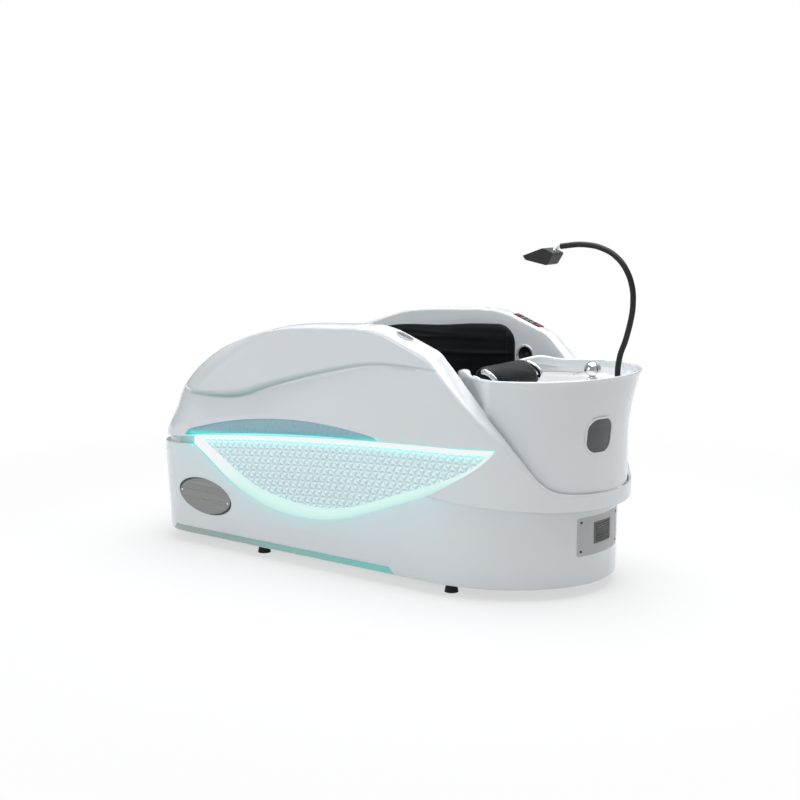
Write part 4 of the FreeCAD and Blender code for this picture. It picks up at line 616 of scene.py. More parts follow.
@once
def strip_silver():
    """Brushed skirting strip that picks up the aqua light towards the basin."""
    made = brushed("Brushed strip", (0.64, 0.70, 0.69), 0.82, 1.1, (6.0, 90.0, 900.0), 0.3)
    x = made.axes(made.place())[0]
    # Painted light: the colour turns aqua towards the head end.
    tint = made.span(x, -0.75, 0.25)
    plain = made.shader.inputs["Base Color"].links[0].from_socket
    made.set("Base Color", made.blend(tint, Signal(made, plain), linear((0.50, 0.79, 0.77))))
    return made


@once
def plate_silver():
    """Brushed cover plate with a darker worn rim."""
    made = brushed("Brushed cover plate", (0.55, 0.555, 0.55), 0.8, 1.14, (4.0, 60.0, 90.0), 0.3)
    low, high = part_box("oval_plate")
    x, _, z = made.axes(made.place())
    across = (x - (low.x + high.x) / 2) / ((high.x - low.x) / 2)
    up = (z - (low.z + high.z) / 2) / ((high.z - low.z) / 2)
    # Darker in a thin band round the plate's edge.
    rim = made.span(across * across + up * up, 0.93, 0.99)
    plain = Signal(made, made.shader.inputs["Base Color"].links[0].from_socket)
    made.set("Base Color", made.blend(rim, plain, linear((0.26, 0.30, 0.30))))
    return made


@once
def bright_screw():
    return brushed("Polished screw steel", (0.90, 0.93, 0.93), 0.95, 1.05, (300.0, 300.0, 300.0), 0.2)


@once
def dark_screw():
    return brushed("Blackened screw steel", (0.22, 0.22, 0.23), 0.9, 1.1, (300.0, 300.0, 300.0), 0.35)


@once
def panel_grey():
    """Satin painted aluminium with a fine sparkle."""
    made = Finish("Satin aluminium", (0.69, 0.69, 0.70), 0.38, metallic=0.35)
    place = made.place()
    fleck = made.cells(place, 900.0)
    made.set("Base Color", made.blend(fleck, linear((0.66, 0.66, 0.67)), linear((0.72, 0.72, 0.73))))
    made.set("Roughness", made.span(made.noise(place, 40.0, 3.0), 0.3, 0.7, 0.32, 0.44))
    made.relief(fleck, 0.0001, 0.2)
    return made


@once
def grille_bronze():
    """Dark bronze lacquer on the grille."""
    made = Finish("Bronze grille", (0.36, 0.345, 0.33), 0.36, metallic=0.3, coat=0.2, coat_roughness=0.2)
    haze = made.noise(made.place(), 220.0, 3.0)
    return made.speckled(haze, (0.33, 0.315, 0.30), (0.40, 0.385, 0.37), (0.3, 0.44))


@once
def screw_steel():
    return brushed("Bright screw steel", (0.64, 0.64, 0.64), 0.9, 1.1, (300.0, 300.0, 300.0), 0.25)


@once
def window_slate():
    """Tinted window, darker at its top."""
    made = Finish("Slate window", (0.30, 0.35, 0.39), 0.08, coat=0.7, coat_roughness=0.02, ior=1.5)
    place = made.place()
    z = made.axes(place)[2]
    up = made.span(z, 0.56, 0.69)
    deep = made.blend(up, linear((0.20, 0.235, 0.26)), linear((0.12, 0.145, 0.165)))
    cloud = made.noise(place, 18.0, 2.0)
    made.set("Base Color", made.blend(cloud * 0.25, deep, linear((0.27, 0.31, 0.345))))
    made.set("Roughness", made.span(cloud, 0.3, 0.7, 0.06, 0.12))
    return made


@once
def black_leather():
    """Soft black leather: pebbled grain, fine creases and a brown sheen where it is rubbed."""
    dark = tuple(settings().leather_colour)
    made = Finish("Black leather", dark, 0.42, coat=0.05, coat_roughness=0.3, sheen_weight=0.02,
                  sheen_roughness=0.5, specular_ior_level=0.17)
    place = made.place()
    pebble = made.cells(place, 420.0, "SMOOTH_F1")
    fine = made.noise(place, 900.0, 2.0)
    crease = made.noise(made.stretched(place, (6.0, 10.0, 34.0)), 1.0, 5.0, 0.6, 0.6)
    worn = made.span(made.noise(place, 7.0, 3.0), 0.45, 0.75)
    made.set("Base Color", made.blend(worn, linear(dark), linear(tone(dark, 1.6))))
    made.set("Roughness", made.span(crease, 0.3, 0.7, 0.34, 0.5))
    made.relief(pebble * 0.5 + fine * 0.2 + crease * 1.0, 0.0009, 0.35)
    return made


@once
def chrome():
    """Polished chrome with the faintest wipe marks."""
    made = Finish("Chrome", (0.88, 0.88, 0.89), 0.05, metallic=1.0)
    smear = made.noise(made.stretched(made.place(), (30.0, 90.0, 30.0)), 1.0, 4.0, 0.6)
    return made.speckled(smear, (0.84, 0.84, 0.85), (0.92, 0.92, 0.93), (0.03, 0.1), ends=(0.35, 0.75))


@once
def hose_black():
    """Matt black sleeve with a fine drawn grain."""
    made = Finish("Black sleeve", (0.09, 0.093, 0.10), 0.5, coat=0.08, coat_roughness=0.4,
                  specular_ior_level=0.3)
    place = made.place()
    grain = made.noise(made.stretched(place, (500.0, 500.0, 120.0)), 1.0, 3.0)
    return made.speckled(grain, (0.075, 0.078, 0.085), (0.12, 0.124, 0.13), (0.42, 0.58), (0.0004, 0.4))


@once
def nozzle_black():
    """Spark eroded black plastic of the nozzle."""
    made = Finish("Black nozzle", (0.11, 0.113, 0.118), 0.42, specular_ior_level=0.35)
    place = made.place()
    grain = made.noise(place, 700.0, 3.0, 0.6)
    return made.speckled(grain, (0.09, 0.093, 0.098), (0.14, 0.143, 0.148), (0.36, 0.5), (0.0003, 0.5))


@once
def console_black():
    made = Finish("Gloss black panel", (0.045, 0.045, 0.05), 0.1, coat=0.5, coat_roughness=0.05)
    place = made.place()
    haze = made.noise(place, 120.0, 3.0)
    return made.speckled(haze, (0.035, 0.035, 0.04), (0.065, 0.065, 0.07), (0.08, 0.2))


@once
def button_red():
    """Red push button, lit from behind and brightest in the middle."""
    made = Finish("Lit red button", (0.72, 0.05, 0.07), 0.2, coat=0.4)
    speck = made.noise(made.place(), 300.0, 2.0)
    made.set("Base Color", made.blend(speck, linear((0.62, 0.04, 0.06)), linear((0.82, 0.08, 0.10))))
    made.set("Emission Color", made.blend(speck, linear((0.75, 0.03, 0.05)), linear((0.95, 0.10, 0.12))))
    made.set("Emission Strength", 0.3)
    made.set("Roughness", made.span(speck, 0.3, 0.7, 0.15, 0.28))
    return made


@once
def key_grey():
    made = Finish("Grey key rubber", (0.46, 0.47, 0.48), 0.55)
    grain = made.noise(made.place(), 600.0, 3.0)
    return made.speckled(grain, (0.40, 0.41, 0.42), (0.52, 0.53, 0.54), (0.48, 0.62), (0.0002, 0.4))


@once
def speaker_silver():
    """Satin silver lacquer over a turned ring."""
    made = brushed("Turned silver ring", (0.86, 0.865, 0.87), 0.95, 1.05, (240.0, 40.0, 240.0), 0.24)
    made.set("Metallic", 0.35)
    made.set("Coat Weight", 0.3)
    return made


@once
def speaker_black():
    """Pressed paper cone: fibrous and matt."""
    made = Finish("Black speaker cone", (0.06, 0.06, 0.065), 0.6)
    fibre = made.noise(made.stretched(made.place(), (260.0, 40.0, 260.0)), 1.0, 5.0, 0.7)
    return made.speckled(fibre, (0.04, 0.04, 0.045), (0.10, 0.10, 0.105), (0.5, 0.7), (0.0005, 0.5))


@once
def switch_mauve():
    """Glossy mauve touch lens with a blue lit dot."""
    made = Finish("Mauve touch lens", (0.42, 0.38, 0.41), 0.08, coat=0.8, coat_roughness=0.02)
    place = made.place()
    low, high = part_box("oval_switch_lens")
    middle = (low + high) / 2
    x, y, _ = made.axes(place)
    dx, dy = x - (middle.x + 0.006), y - (middle.y + 0.002)
    spot = made.span(dx * dx + dy * dy, 0.0, 0.000016, 1.0, 0.0)
    cloud = made.noise(place, 40.0, 2.0)
    made.set("Base Color", made.blend(cloud, linear((0.37, 0.335, 0.36)), linear((0.52, 0.48, 0.50))))
    made.set("Emission Color", made.blend(spot, (0, 0, 0, 1), linear((0.40, 0.42, 1.0))))
    made.set("Emission Strength", 1.2)
    made.set("Roughness", made.span(cloud, 0.3, 0.7, 0.06, 0.14))
    return made


@once
def frame_black():
    """Black powder coat with its orange peel."""
    made = Finish("Black powder coat", (0.10, 0.10, 0.11), 0.45)
    place = made.place()
    peel = made.noise(place, 260.0, 3.0)
    return made.speckled(peel, (0.085, 0.085, 0.095), (0.13, 0.13, 0.14), (0.38, 0.54), (0.0006, 0.5))


@once
def foot_rubber():
    made = Finish("Foot rubber", (0.06, 0.06, 0.06), 0.7)
    grain = made.noise(made.place(), 300.0, 4.0)
    return made.speckled(grain, (0.045, 0.045, 0.045), (0.10, 0.10, 0.10), (0.6, 0.8), (0.0005, 0.5))


@once
def plywood():
    """Bare plywood: drawn grain on the face and plies along the edges."""
    made = Finish("Bare plywood", (0.66, 0.52, 0.36), 0.6)
    place = made.place()
    grain = made.noise(made.stretched(place, (3.0, 60.0, 20.0)), 1.0, 6.0, 0.6, 0.5)
    plies = made.add("ShaderNodeTexWave", {"bands_direction": "Z"}, {"Vector": place, "Scale": 60.0})
    tint = made.blend(grain, linear((0.56, 0.42, 0.27)), linear((0.74, 0.60, 0.43)))
    made.set("Base Color", made.blend(plies * 0.25, tint, linear((0.42, 0.30, 0.19))))
    made.set("Roughness", made.span(grain, 0.3, 0.7, 0.5, 0.7))
    made.relief(grain, 0.0005, 0.5)
    return made


@once
def pipe_white():
    made = Finish("White waste pipe", (0.86, 0.86, 0.84), 0.4)
    cloud = made.noise(made.place(), 30.0, 4.0)
    return made.speckled(cloud, (0.80, 0.80, 0.77), (0.88, 0.88, 0.86), (0.34, 0.48), (0.0005, 0.2))


@once
def unit_steel():
    return brushed("Folded unit steel", (0.62, 0.63, 0.64), 0.9, 1.08, (60.0, 300.0, 60.0), 0.35)


# Mouldings
WING_LINE = height_over(np.concatenate([fair_curve(drawn(WING_ARCH), 120),
                                        fair_curve(drawn(WING_SLOPE[:2]), 3)[1:],
                                        fair_curve(drawn(WING_SLOPE[1:4]), 20)[1:],
                                        fair_curve(drawn(WING_SLOPE[3:]), 3)[1:],
                                        fair_curve(drawn(WING_RUNOUT), 60)[1:]]), False)
WAVE_LINE = height_over(drawn(WAVE))
FOOT_LEAN_LINE = fair_curve(FOOT_LEAN, 300)


def upper_foot(z):
    """X of the upper moulding's foot end at a height."""
    lean = np.interp(np.asarray(z) / HEIGHT, FOOT_LEAN_LINE[:, 0], FOOT_LEAN_LINE[:, 1])
    return FOOT + UPPER_SETBACK + LENGTH * np.clip(lean, 0, None)


def in_hole(x, y, z):
    """Whether a place is in the cockpit or within the basin's wall."""
    y = np.abs(y)
    head = HEAD - BELT_RING
    turn_x = head - (BELT_REACH - BELT_RING)
    start = FOOT + FOOT_WALL
    round_x, round_y = start + COCKPIT_CORNER, COCKPIT_HALF - COCKPIT_CORNER
    in_corner = (x < round_x) & (y > round_y)
    cockpit = (x > start) & (y < COCKPIT_HALF)
    cockpit &= ~in_corner | (np.hypot(x - round_x, y - round_y) < COCKPIT_CORNER)
    past = np.clip((x - turn_x) / (BELT_REACH - BELT_RING), 0, None)
    cockpit &= past ** 2 + (y / COCKPIT_HALF) ** 2 < 1
    rise = (z - BASIN_SEAT) / (RIM_HEIGHT - BASIN_SEAT)
    flare = np.interp(rise, [row[0] for row in BASIN_WALL], [row[1] for row in BASIN_WALL])
    wide = np.interp(rise, [row[0] for row in BASIN_WALL], [row[2] for row in BASIN_WALL])
    basin_head, basin_half = HEAD - 7 + 47 * flare + BASIN_GAP, 360 + 25 * wide + BASIN_GAP
    over = np.clip((x - basin_head + BASIN_REACH) / BASIN_REACH, 0, None)
    basin = (over ** 2 + (y / basin_half) ** 2 < 1) & (x > basin_head - BASIN_REACH)
    return cockpit | basin


def wall_to_hole(points, inward, z):
    """How far in from the outside the cockpit or basin opening starts."""
    reach = np.full(len(points), 260.0)
    open_yet = np.zeros(len(points), bool)
    for step in np.arange(2.0, 260.0, 1.0):
        place = points + inward * step
        hit = in_hole(place[:, 0], place[:, 1], z) & ~open_yet
        reach[hit] = step
        open_yet |= hit
    return reach


def lens_tool(name, side, depth, tops, lows, ends):
    """A closed cutter that follows the side's plan to a depth, between two drawn lines."""
    count = 160
    x = np.linspace(ends[0], ends[1], count)
    high, low = tops(x), lows(x)
    round_part = np.clip((x - (HEAD - BELT_REACH)) / BELT_REACH, 0, 1)
    floor = HALF * np.sqrt(1 - round_part ** 2) - depth
    rows = []
    for i in range(count):
        top, bottom = max(high[i], low[i] + 0.05), low[i]
        rows.append([(x[i], side * CUTTER_REACH, bottom), (x[i], side * CUTTER_REACH, top),
                     (x[i], side * floor[i], top), (x[i], side * floor[i], bottom)])
    return closed_tube(name, rows)


def lens_cutters(name, depth=POCKET_DEPTH):
    tops = height_over(arc_through(*drawn(LENS_TOP)), False)
    lows = height_over(np.concatenate([fair_curve(drawn(LENS_LOW[:-1]), 160), drawn(LENS_LOW[-1:])]), False)
    ends = (at_length(LENS_TOP[0][0]), at_length(LENS_TOP[-1][0]))
    return [lens_tool("%s_%d" % (name, side), side, depth, tops, lows, ends) for side in (NEAR, FAR)]


def recess_cutters(name):
    ends = (at_length(0.1165), at_length(0.6245))
    arc = arc_through(*drawn(RECESS_TOP))
    floor = arc_through(*drawn(RECESS_LOW))
    tops = height_over(np.concatenate([drawn([(0.1165, 0.478)]), arc, drawn([(0.6245, 0.562)])]), False)
    lows = height_over(np.concatenate([drawn([(0.1165, 0.474)]), floor]), False)
    return [lens_tool("%s_%d" % (name, side), side, RECESS_DEPTH, tops, lows, ends) for side in (NEAR, FAR)]


def block_tool(name, corners_low, corners_high):
    """A closed six sided cutter from its lower and upper four corners."""
    faces = [(0, 1, 2, 3), (4, 5, 6, 7), (0, 1, 5, 4), (1, 2, 6, 5), (2, 3, 7, 6), (3, 0, 4, 7)]
    return face_outward(build_mesh(name, list(corners_low) + list(corners_high), faces, smooth=False))


def round_cornered(middle, half, low, high, corner, count):
    """Outline of a round cornered opening, as places across and up."""
    outline = []
    for y, z, start in ((half - corner, high - corner, 0), (corner - half, high - corner, 90),
                        (corner - half, low + corner, 180), (half - corner, low + corner, 270)):
        for turn in np.radians(np.linspace(start, start + 90, count)):
            outline.append((y + middle + corner * math.cos(turn), z + corner * math.sin(turn)))
    return outline


SLOPE_START = Vector((at_length(0.645), 0, at_height(0.984)))
SLOPE_END = Vector((at_length(0.718), 0, at_height(0.929)))
SLOPE_ALONG = (SLOPE_END - SLOPE_START).normalized()
SLOPE_UP = Vector((-SLOPE_ALONG.z, 0, SLOPE_ALONG.x))
WING_MIDDLE = (COCKPIT_HALF + HALF - 8 - 10) / 2


def on_slope(along, across, up, side):
    """A place on the wings' shallow slope."""
    place = SLOPE_START + SLOPE_ALONG * along + SLOPE_UP * up
    return (place.x, side * WING_MIDDLE + across, place.z)


def wave_form(x):
    """Height of the wave's undercut in millimetres and its depth as a share of the deepest."""
    shares, rolls, depths = zip(*WAVE_SHARES)
    along = (np.asarray(x, float) - FOOT) / LENGTH
    return np.interp(along, shares, rolls), np.interp(along, shares, depths)


def over_lens(x):
    """Height just above the recess or the lens, or above the seam where there is neither."""
    recess, lens = arc_through(*drawn(RECESS_TOP)), arc_through(*drawn(LENS_TOP))
    high = np.maximum(np.interp(x, recess[:, 0], recess[:, 1], left=500, right=0),
                      np.interp(x, lens[:, 0], lens[:, 1], left=0, right=590))
    return high + 6


def lower_top(x):
    """Height of the lower moulding's top edge, from the foot end down to the head."""
    return np.interp(x, [FOOT, at_length(0.138), at_length(0.731), HEAD - BASE_INSET], [425, 440, 384, 342])


def band_light(shell, upper):
    """Store the wave's shade and the spill of the light bands at the moulding's corners."""
    mesh = shell.data
    places = np.empty(len(mesh.vertices) * 3, np.float32)
    mesh.vertices.foreach_get("co", places)
    places = places.reshape(-1, 3) / MM
    x, out, z = places[:, 0], np.abs(places[:, 1]), places[:, 2]
    outline = spread(arc_through(*drawn(LENS_TOP)) if upper else fair_curve(drawn(LENS_LOW)), 240)
    far_off = np.min(np.hypot(x[:, None] - outline[None, :, 0], z[:, None] - outline[None, :, 1]), axis=1)
    on_side = out > side_y(x, 16.0)
    # Painted light: the bands' aqua light on the shell's side near the lens outline, under the recess and by
    # the lens tip.
    if upper:
        under_recess = (x > at_length(0.12)) & (x < at_length(0.6245)) & (far_off < 7.5)
        spill = np.where(on_side, np.where(under_recess, 0.95, 0.25 * np.exp(-far_off / 4.0)), 0.0)
    else:
        spill = np.where(on_side, 0.14 * np.exp(-far_off / 8.0) + 0.13 * np.exp(-far_off / 130.0), 0.0)
    tip = drawn(LENS_TOP)[0]
    by_tip = (x < tip[0] + 10) & (z > 436) & (z < 480)
    spill = np.where(by_tip, np.maximum(spill, 0.85 * np.exp(-np.abs(x - tip[0]) / 38)), spill)
    roll, deep = wave_form(x)
    if upper:
        # Painted shade: darkest at the foot of the wave's overhang, fading upward.
        climb = z - WAVE_LINE(x)
        fading = np.clip(1 - climb / (1.15 * roll), 0, 1) ** 0.9
        shade = np.sqrt(deep) * fading * np.clip(1 + climb / 7, 0, 1) * on_side
    else:
        # Painted shade on the upstand in the groove under the upper moulding's foot end.
        shade = np.where(z > lower_top(x) + 0.1, 0.6, 0.0)
    for name, values in (("band_spill", spill), ("wave_shade", shade)):
        layer = mesh.attributes.new(name, "FLOAT", "POINT")
        layer.data.foreach_set("value", values.astype(np.float32))


def console_cutter():
    half_length, half_width = CONSOLE_LONG / 2 + CONSOLE_GAP, CONSOLE_WIDE / 2 + CONSOLE_GAP
    middle = 0.4 + CONSOLE_LONG / 2
    corners = [(middle - half_length, -half_width), (middle + half_length, -half_width),
               (middle + half_length, half_width), (middle - half_length, half_width)]
    low, high = ([on_slope(along, across, level, FAR) for along, across in corners]
                 for level in (-CONSOLE_DEEP - CONSOLE_GAP, 60))
    return block_tool("console_cut", low, high)


def switch_cutter():
    half_length, half_width = SWITCH_LONG / 2, SWITCH_WIDE / 2
    oval = [[on_slope(half_length + half_length * math.cos(t), half_width * math.sin(t), level, NEAR)
             for t in np.linspace(0, 2 * math.pi, 64, endpoint=False)] for level in (-SWITCH_DEEP, 40.0)]
    return closed_tube("switch_cut", oval)


def speaker_cutter():
    x, z = at_length(SPEAKER_AT[0]), at_height(SPEAKER_AT[1])
    bore = [[(x + SPEAKER_BORE * math.cos(t), y, z + SPEAKER_BORE * math.sin(t))
             for t in np.linspace(0, 2 * math.pi, 72, endpoint=False)]
            for y in (COCKPIT_HALF - 40.0, COCKPIT_HALF + 40.0)]
    return closed_tube("speaker_cut", bore)


def upper_moulding():
    """Wings, foot end and belt as one skin with rolled lips and the soft wave along the side."""
    plan = Plan()
    count = len(plan.share)
    inward = plan.inward(HALF, BELT_REACH)

    def outside(z):
        return plan.points(upper_foot(z), HEAD, side_half(z), BELT_REACH)

    top, width = np.zeros(count), np.zeros(count)
    found = np.zeros(count, bool)
    for z in np.arange(400.0, HEIGHT + 3, 1.0):
        points = outside(z)
        line = np.where(points[:, 0] < at_length(0.100), at_height(0.74), WING_LINE(points[:, 0]))
        here = (z >= line) & ~found
        thin = np.zeros(count, bool)
        if z > 480:
            foot_part = np.flatnonzero(~found & (plan.part < 2) | ~found & (points[:, 0] < at_length(0.16)))
            if len(foot_part):
                thin[foot_part] = wall_to_hole(points[foot_part], inward[foot_part], z) < 27
        here |= thin & ~found
        top[here] = z
        found |= here
    top[~found] = HEIGHT
    top = eased(top, 5)
    lip_points = outside(top)
    width = np.array([wall_to_hole(lip_points[i:i + 1], inward[i:i + 1], top[i])[0] for i in range(count)])
    width = np.clip(eased(width, 3), 6, None)
    share = (lip_points[:, 0] - FOOT) / LENGTH
    drop = np.interp(share, [0, 0.10, 0.30, 0.64, 0.75, 0.87, 0.93, 1.0], [30, 26, 24, 26, 36, 40, 26, 16])
    inner_roll = np.minimum(np.interp(share, [0, 0.6, 0.75, 0.9, 1.0], [14, 12, 9, 6, 3]), width * 0.4)
    bottom_line = np.interp(outside(460)[:, 0],
                            [FOOT, at_length(0.1400), at_length(0.1430), at_length(0.731), HEAD],
                            [444, 475, 442, 384, 342])
    lip_from = top - drop
    wave_x = outside(680)[:, 0]
    roll, deep = wave_form(wave_x)
    crease = np.minimum(WAVE_LINE(wave_x) + roll, lip_from - 30)
    low_enough = soft_step(lip_from - bottom_line, 60, 200)
    crease = np.maximum(crease, bottom_line + 12)
    under_lip = soft_step(lip_from - WAVE_LINE(wave_x) - roll, -30, 60)
    depth = settings().wave_depth / MM * deep * low_enough * under_lip
    foot_of_wave = crease - roll
    fade = np.minimum(over_lens(wave_x), foot_of_wave - 20)
    rows = []

    def set_back(z):
        """Undercut below the wave: none above it, deepest at its foot, gone again above the lens."""
        under = 1 - soft_step(z - foot_of_wave, -1.5, 1.0 + roll)
        return depth * under * np.clip((z - fade) / (foot_of_wave - fade), 0, 1)

    def wall_row(z, extra=0.0):
        points = outside(z)
        inset = set_back(z) + extra
        return np.column_stack([points + inward * inset[:, None], np.broadcast_to(z, (count,))])

    edge = 3.0
    rows.append(wall_row(bottom_line, edge + 4))
    rows.append(wall_row(bottom_line, edge))
    rows.append(wall_row(bottom_line + 0.9, edge * 0.3))
    rows.append(wall_row(bottom_line + edge, 0.0))
    low_mark = np.maximum(foot_of_wave - 3, bottom_line + edge + 2)
    high_mark = np.minimum(crease + 4, lip_from - 1)
    for step in np.linspace(0, 1, 26)[1:-1]:
        rows.append(wall_row(bottom_line + edge + step * (low_mark - bottom_line - edge)))
    for step in np.linspace(0, 1, 16):
        rows.append(wall_row(low_mark + step * (high_mark - low_mark)))
    for step in np.linspace(0, 1, 30)[1:]:
        rows.append(wall_row(high_mark + step * (lip_from - high_mark)))
    power = 2 / 2.5
    for turn in np.linspace(0, math.pi / 2, 22)[1:]:
        over, up = 1 - math.cos(turn) ** power, math.sin(turn) ** power
        z = lip_from + drop * up
        points = outside(z)
        run = (width - inner_roll) * over
        rows.append(np.column_stack([points + inward * run[:, None], z]))
    last = outside(top)
    for turn in np.linspace(0, math.pi / 2, 7)[1:]:
        run = width - inner_roll + inner_roll * math.sin(turn)
        z = top - inner_roll * (1 - math.cos(turn))
        rows.append(np.column_stack([last + inward * run[:, None], z]))
    low_inside = np.minimum(bottom_line, top - inner_roll - 20)
    for step in np.linspace(0, 1, 14)[1:]:
        z = (top - inner_roll) + step * (low_inside - top + inner_roll)
        rows.append(np.column_stack([last + inward * width[:, None], z]))
    shell = closed_ring("upper_moulding", rows)
    tools = lens_cutters("lens_cut") + recess_cutters("recess_cut")
    cut_with(shell, tools + [console_cutter(), switch_cutter(), speaker_cutter()])
    crisp(shell, 30)
    band_light(shell, True)
    return finish_piece(shell, "bed", "gelcoat", gelcoat(), "upper_shell")


def lower_moulding():
    """Skirt with a turned in foot, a flange under the seam and the upstand at the foot end."""
    plan = Plan()
    count = len(plan.share)
    head = HEAD - BASE_INSET
    inward = plan.inward(HALF, BASE_REACH)

    def outside(z, inset=0.0):
        return plan.points(FOOT, head, side_half(z), BASE_REACH) + inward * inset

    plan_x = outside(400)[:, 0]
    top = lower_top(plan_x)
    stand = np.interp(plan_x, [FOOT, at_length(0.140), at_length(0.165), at_length(0.17)],
                      [444, 475, 440, 430])
    stand = np.maximum(stand - 1, top - 6)
    rows = []

    def row(z, inset):
        z = np.broadcast_to(z, (count,))
        return np.column_stack([outside(z, np.asarray(inset)[..., None] if np.ndim(inset) else inset), z])

    for z, inset in ((75, 12), (58, 11), (48, 9), (45, 6), (45.3, 3), (47, 1), (50, 0)):
        rows.append(row(float(z), inset))
    for step in np.linspace(0, 1, 34)[1:]:
        rows.append(row(50 + step * (top - 3 - 50), 0))
    rows += [row(top - 0.9, 0.9), row(top, 3), row(top, 19.6), row(top + 0.2, 20)]
    rows += [row(np.maximum(stand - 2, top + 0.4), 20.3), row(np.maximum(stand, top + 0.6), 22)]
    rows += [row(np.maximum(stand, top + 0.6), 26), row(top - 6, 26), row(top - 6, 12), row(top - 20, 6)]
    for step in np.linspace(0, 1, 12)[1:]:
        rows.append(row((top - 20) + step * (90 - top + 20), 6 + 6 * step))
    shell = closed_ring("lower_moulding", rows)
    tools = lens_cutters("lens_cut_low")
    outline = round_cornered(0.0, 144.4, 157.6, 306.4, 12.0, 8)
    opening = [[(x, y, z) for y, z in outline] for x in (head - 200.0, head + 60.0)]
    tools.append(closed_tube("panel_cut", opening))
    cut_with(shell, tools)
    crisp(shell, 30)
    band_light(shell, False)
    return finish_piece(shell, "bed", "gelcoat", gelcoat(), "base_shell")


# Lit side
def side_y(x, inset):
    """How far out the belt's side stands at an X, moved in."""
    past = np.clip((np.asarray(x, float) - (HEAD - BELT_REACH)) / BELT_REACH, 0, 0.999)
    return (HALF - inset) * np.sqrt(1 - past ** 2)


def spread(points, count):
    steps = np.concatenate([[0], np.cumsum(np.linalg.norm(np.diff(points, axis=0), axis=1))])
    even = np.linspace(0, steps[-1], count)
    return np.stack([np.interp(even, steps, points[:, k]) for k in range(points.shape[1])], axis=1)


def light_bands(side, name):
    """The glowing rim of the lens as one gently bowed strip."""
    outer_top, inner_top = arc_through(*drawn(LENS_TOP), 200), arc_through(*drawn(INNER_TOP), 200)
    outer_low = np.concatenate([fair_curve(drawn(LENS_LOW[:-1]), 400), drawn(LENS_LOW[-1:])])
    inner_low = fair_curve(drawn(INNER_LOW), 400)
    closing = np.column_stack([np.full(7, outer_low[0, 0]),
                               np.linspace(outer_low[0, 1], outer_top[0, 1], 8)[1:]])
    outer = np.concatenate([spread(outer_top, 200), spread(outer_low[::-1], 260)[1:], closing])
    inner = np.concatenate([spread(inner_top, 200), spread(inner_low[::-1], 260)[1:-1],
                            np.repeat(inner_top[:1], 8, axis=0)])
    along = (outer[:, 0] - FOOT) / LENGTH
    white = np.maximum(soft_step(0.29 - along, 0, 0.12), 0.7 * soft_step(along - 0.76, 0, 0.08))
    white[:200] = 1
    rows = []
    profile = [(0.0, 34.0), (0.0, 1.8), (0.03, 1.2), (0.10, 0.9), (0.3, 0.7), (0.5, 0.6), (0.7, 0.8),
               (0.88, 1.4), (0.95, 2.2), (1.0, 4.0), (1.0, 34.0)]
    for out_point, in_point in zip(outer, inner):
        row = []
        for across, depth in profile:
            x, z = out_point + (in_point - out_point) * (0.004 + 0.992 * across)
            row.append((x, side * (side_y(x, depth) - HALF + side_half(z)), z))
        rows.append(row)
    band = lattice(name, rows, angle=50)
    layer = band.data.uv_layers.new(name="across")
    width = len(profile)
    for loop in band.data.loops:
        i, j = divmod(loop.vertex_index, width)
        layer.data[loop.index].uv = (white[i], profile[j][0])
    return face_outward(band)


def facet_sheet(name):
    """Near side's sheet of three sided pyramids, in rows that run along the upper band, with a plain back."""
    cx, cz, radius, start, end = circle_through(*drawn(INNER_TOP))
    rise = FACET_SIDE * math.sqrt(3) / 2
    columns = int(abs(end - start) * radius / FACET_SIDE) + 4
    turn = math.copysign(1 / radius, end - start)

    def place(along, down, inset):
        angle = start + turn * along
        x, z = cx + (radius - down) * math.cos(angle), cz + (radius - down) * math.sin(angle)
        return x, float(-(side_y(x, inset) - HALF + side_half(z))), z

    vertices, faces, uses = [], [], {}
    rows = range(-1, 11)
    for inset in (FACET_VALLEY, FACET_BACK):
        for row in rows:
            for column in range(columns + 1):
                along = (column - 1.5 + 0.5 * (row % 2)) * FACET_SIDE
                vertices.append(place(along, FACET_FIRST + row * rise, inset))
    layer = len(vertices) // 2
    line = columns + 1
    for index in range(len(rows) - 1):
        high, low = index * line, (index + 1) * line
        late = (index - 1) % 2
        for i in range(columns):
            if late:
                cells = [(high + i, low + i, low + i + 1), (high + i, low + i + 1, high + i + 1)]
            else:
                cells = [(high + i, low + i, high + i + 1), (high + i + 1, low + i, low + i + 1)]
            for cell in cells:
                spots = np.array([vertices[k] for k in cell])
                x, _, z = spots.mean(axis=0)
                peak = len(vertices)
                vertices.append((x, float(-(side_y(x, FACET_PEAK) - HALF + side_half(z))), z))
                faces += [(cell[0], cell[1], peak), (cell[1], cell[2], peak), (cell[2], cell[0], peak)]
                faces.append(tuple(k + layer for k in reversed(cell)))
                for a, b in zip(cell, cell[1:] + cell[:1]):
                    uses[(a, b)] = True
    for a, b in uses:
        if (b, a) not in uses:
            faces.append((a, a + layer, b + layer, b))
    return face_outward(build_mesh(name, vertices, faces, smooth=False))


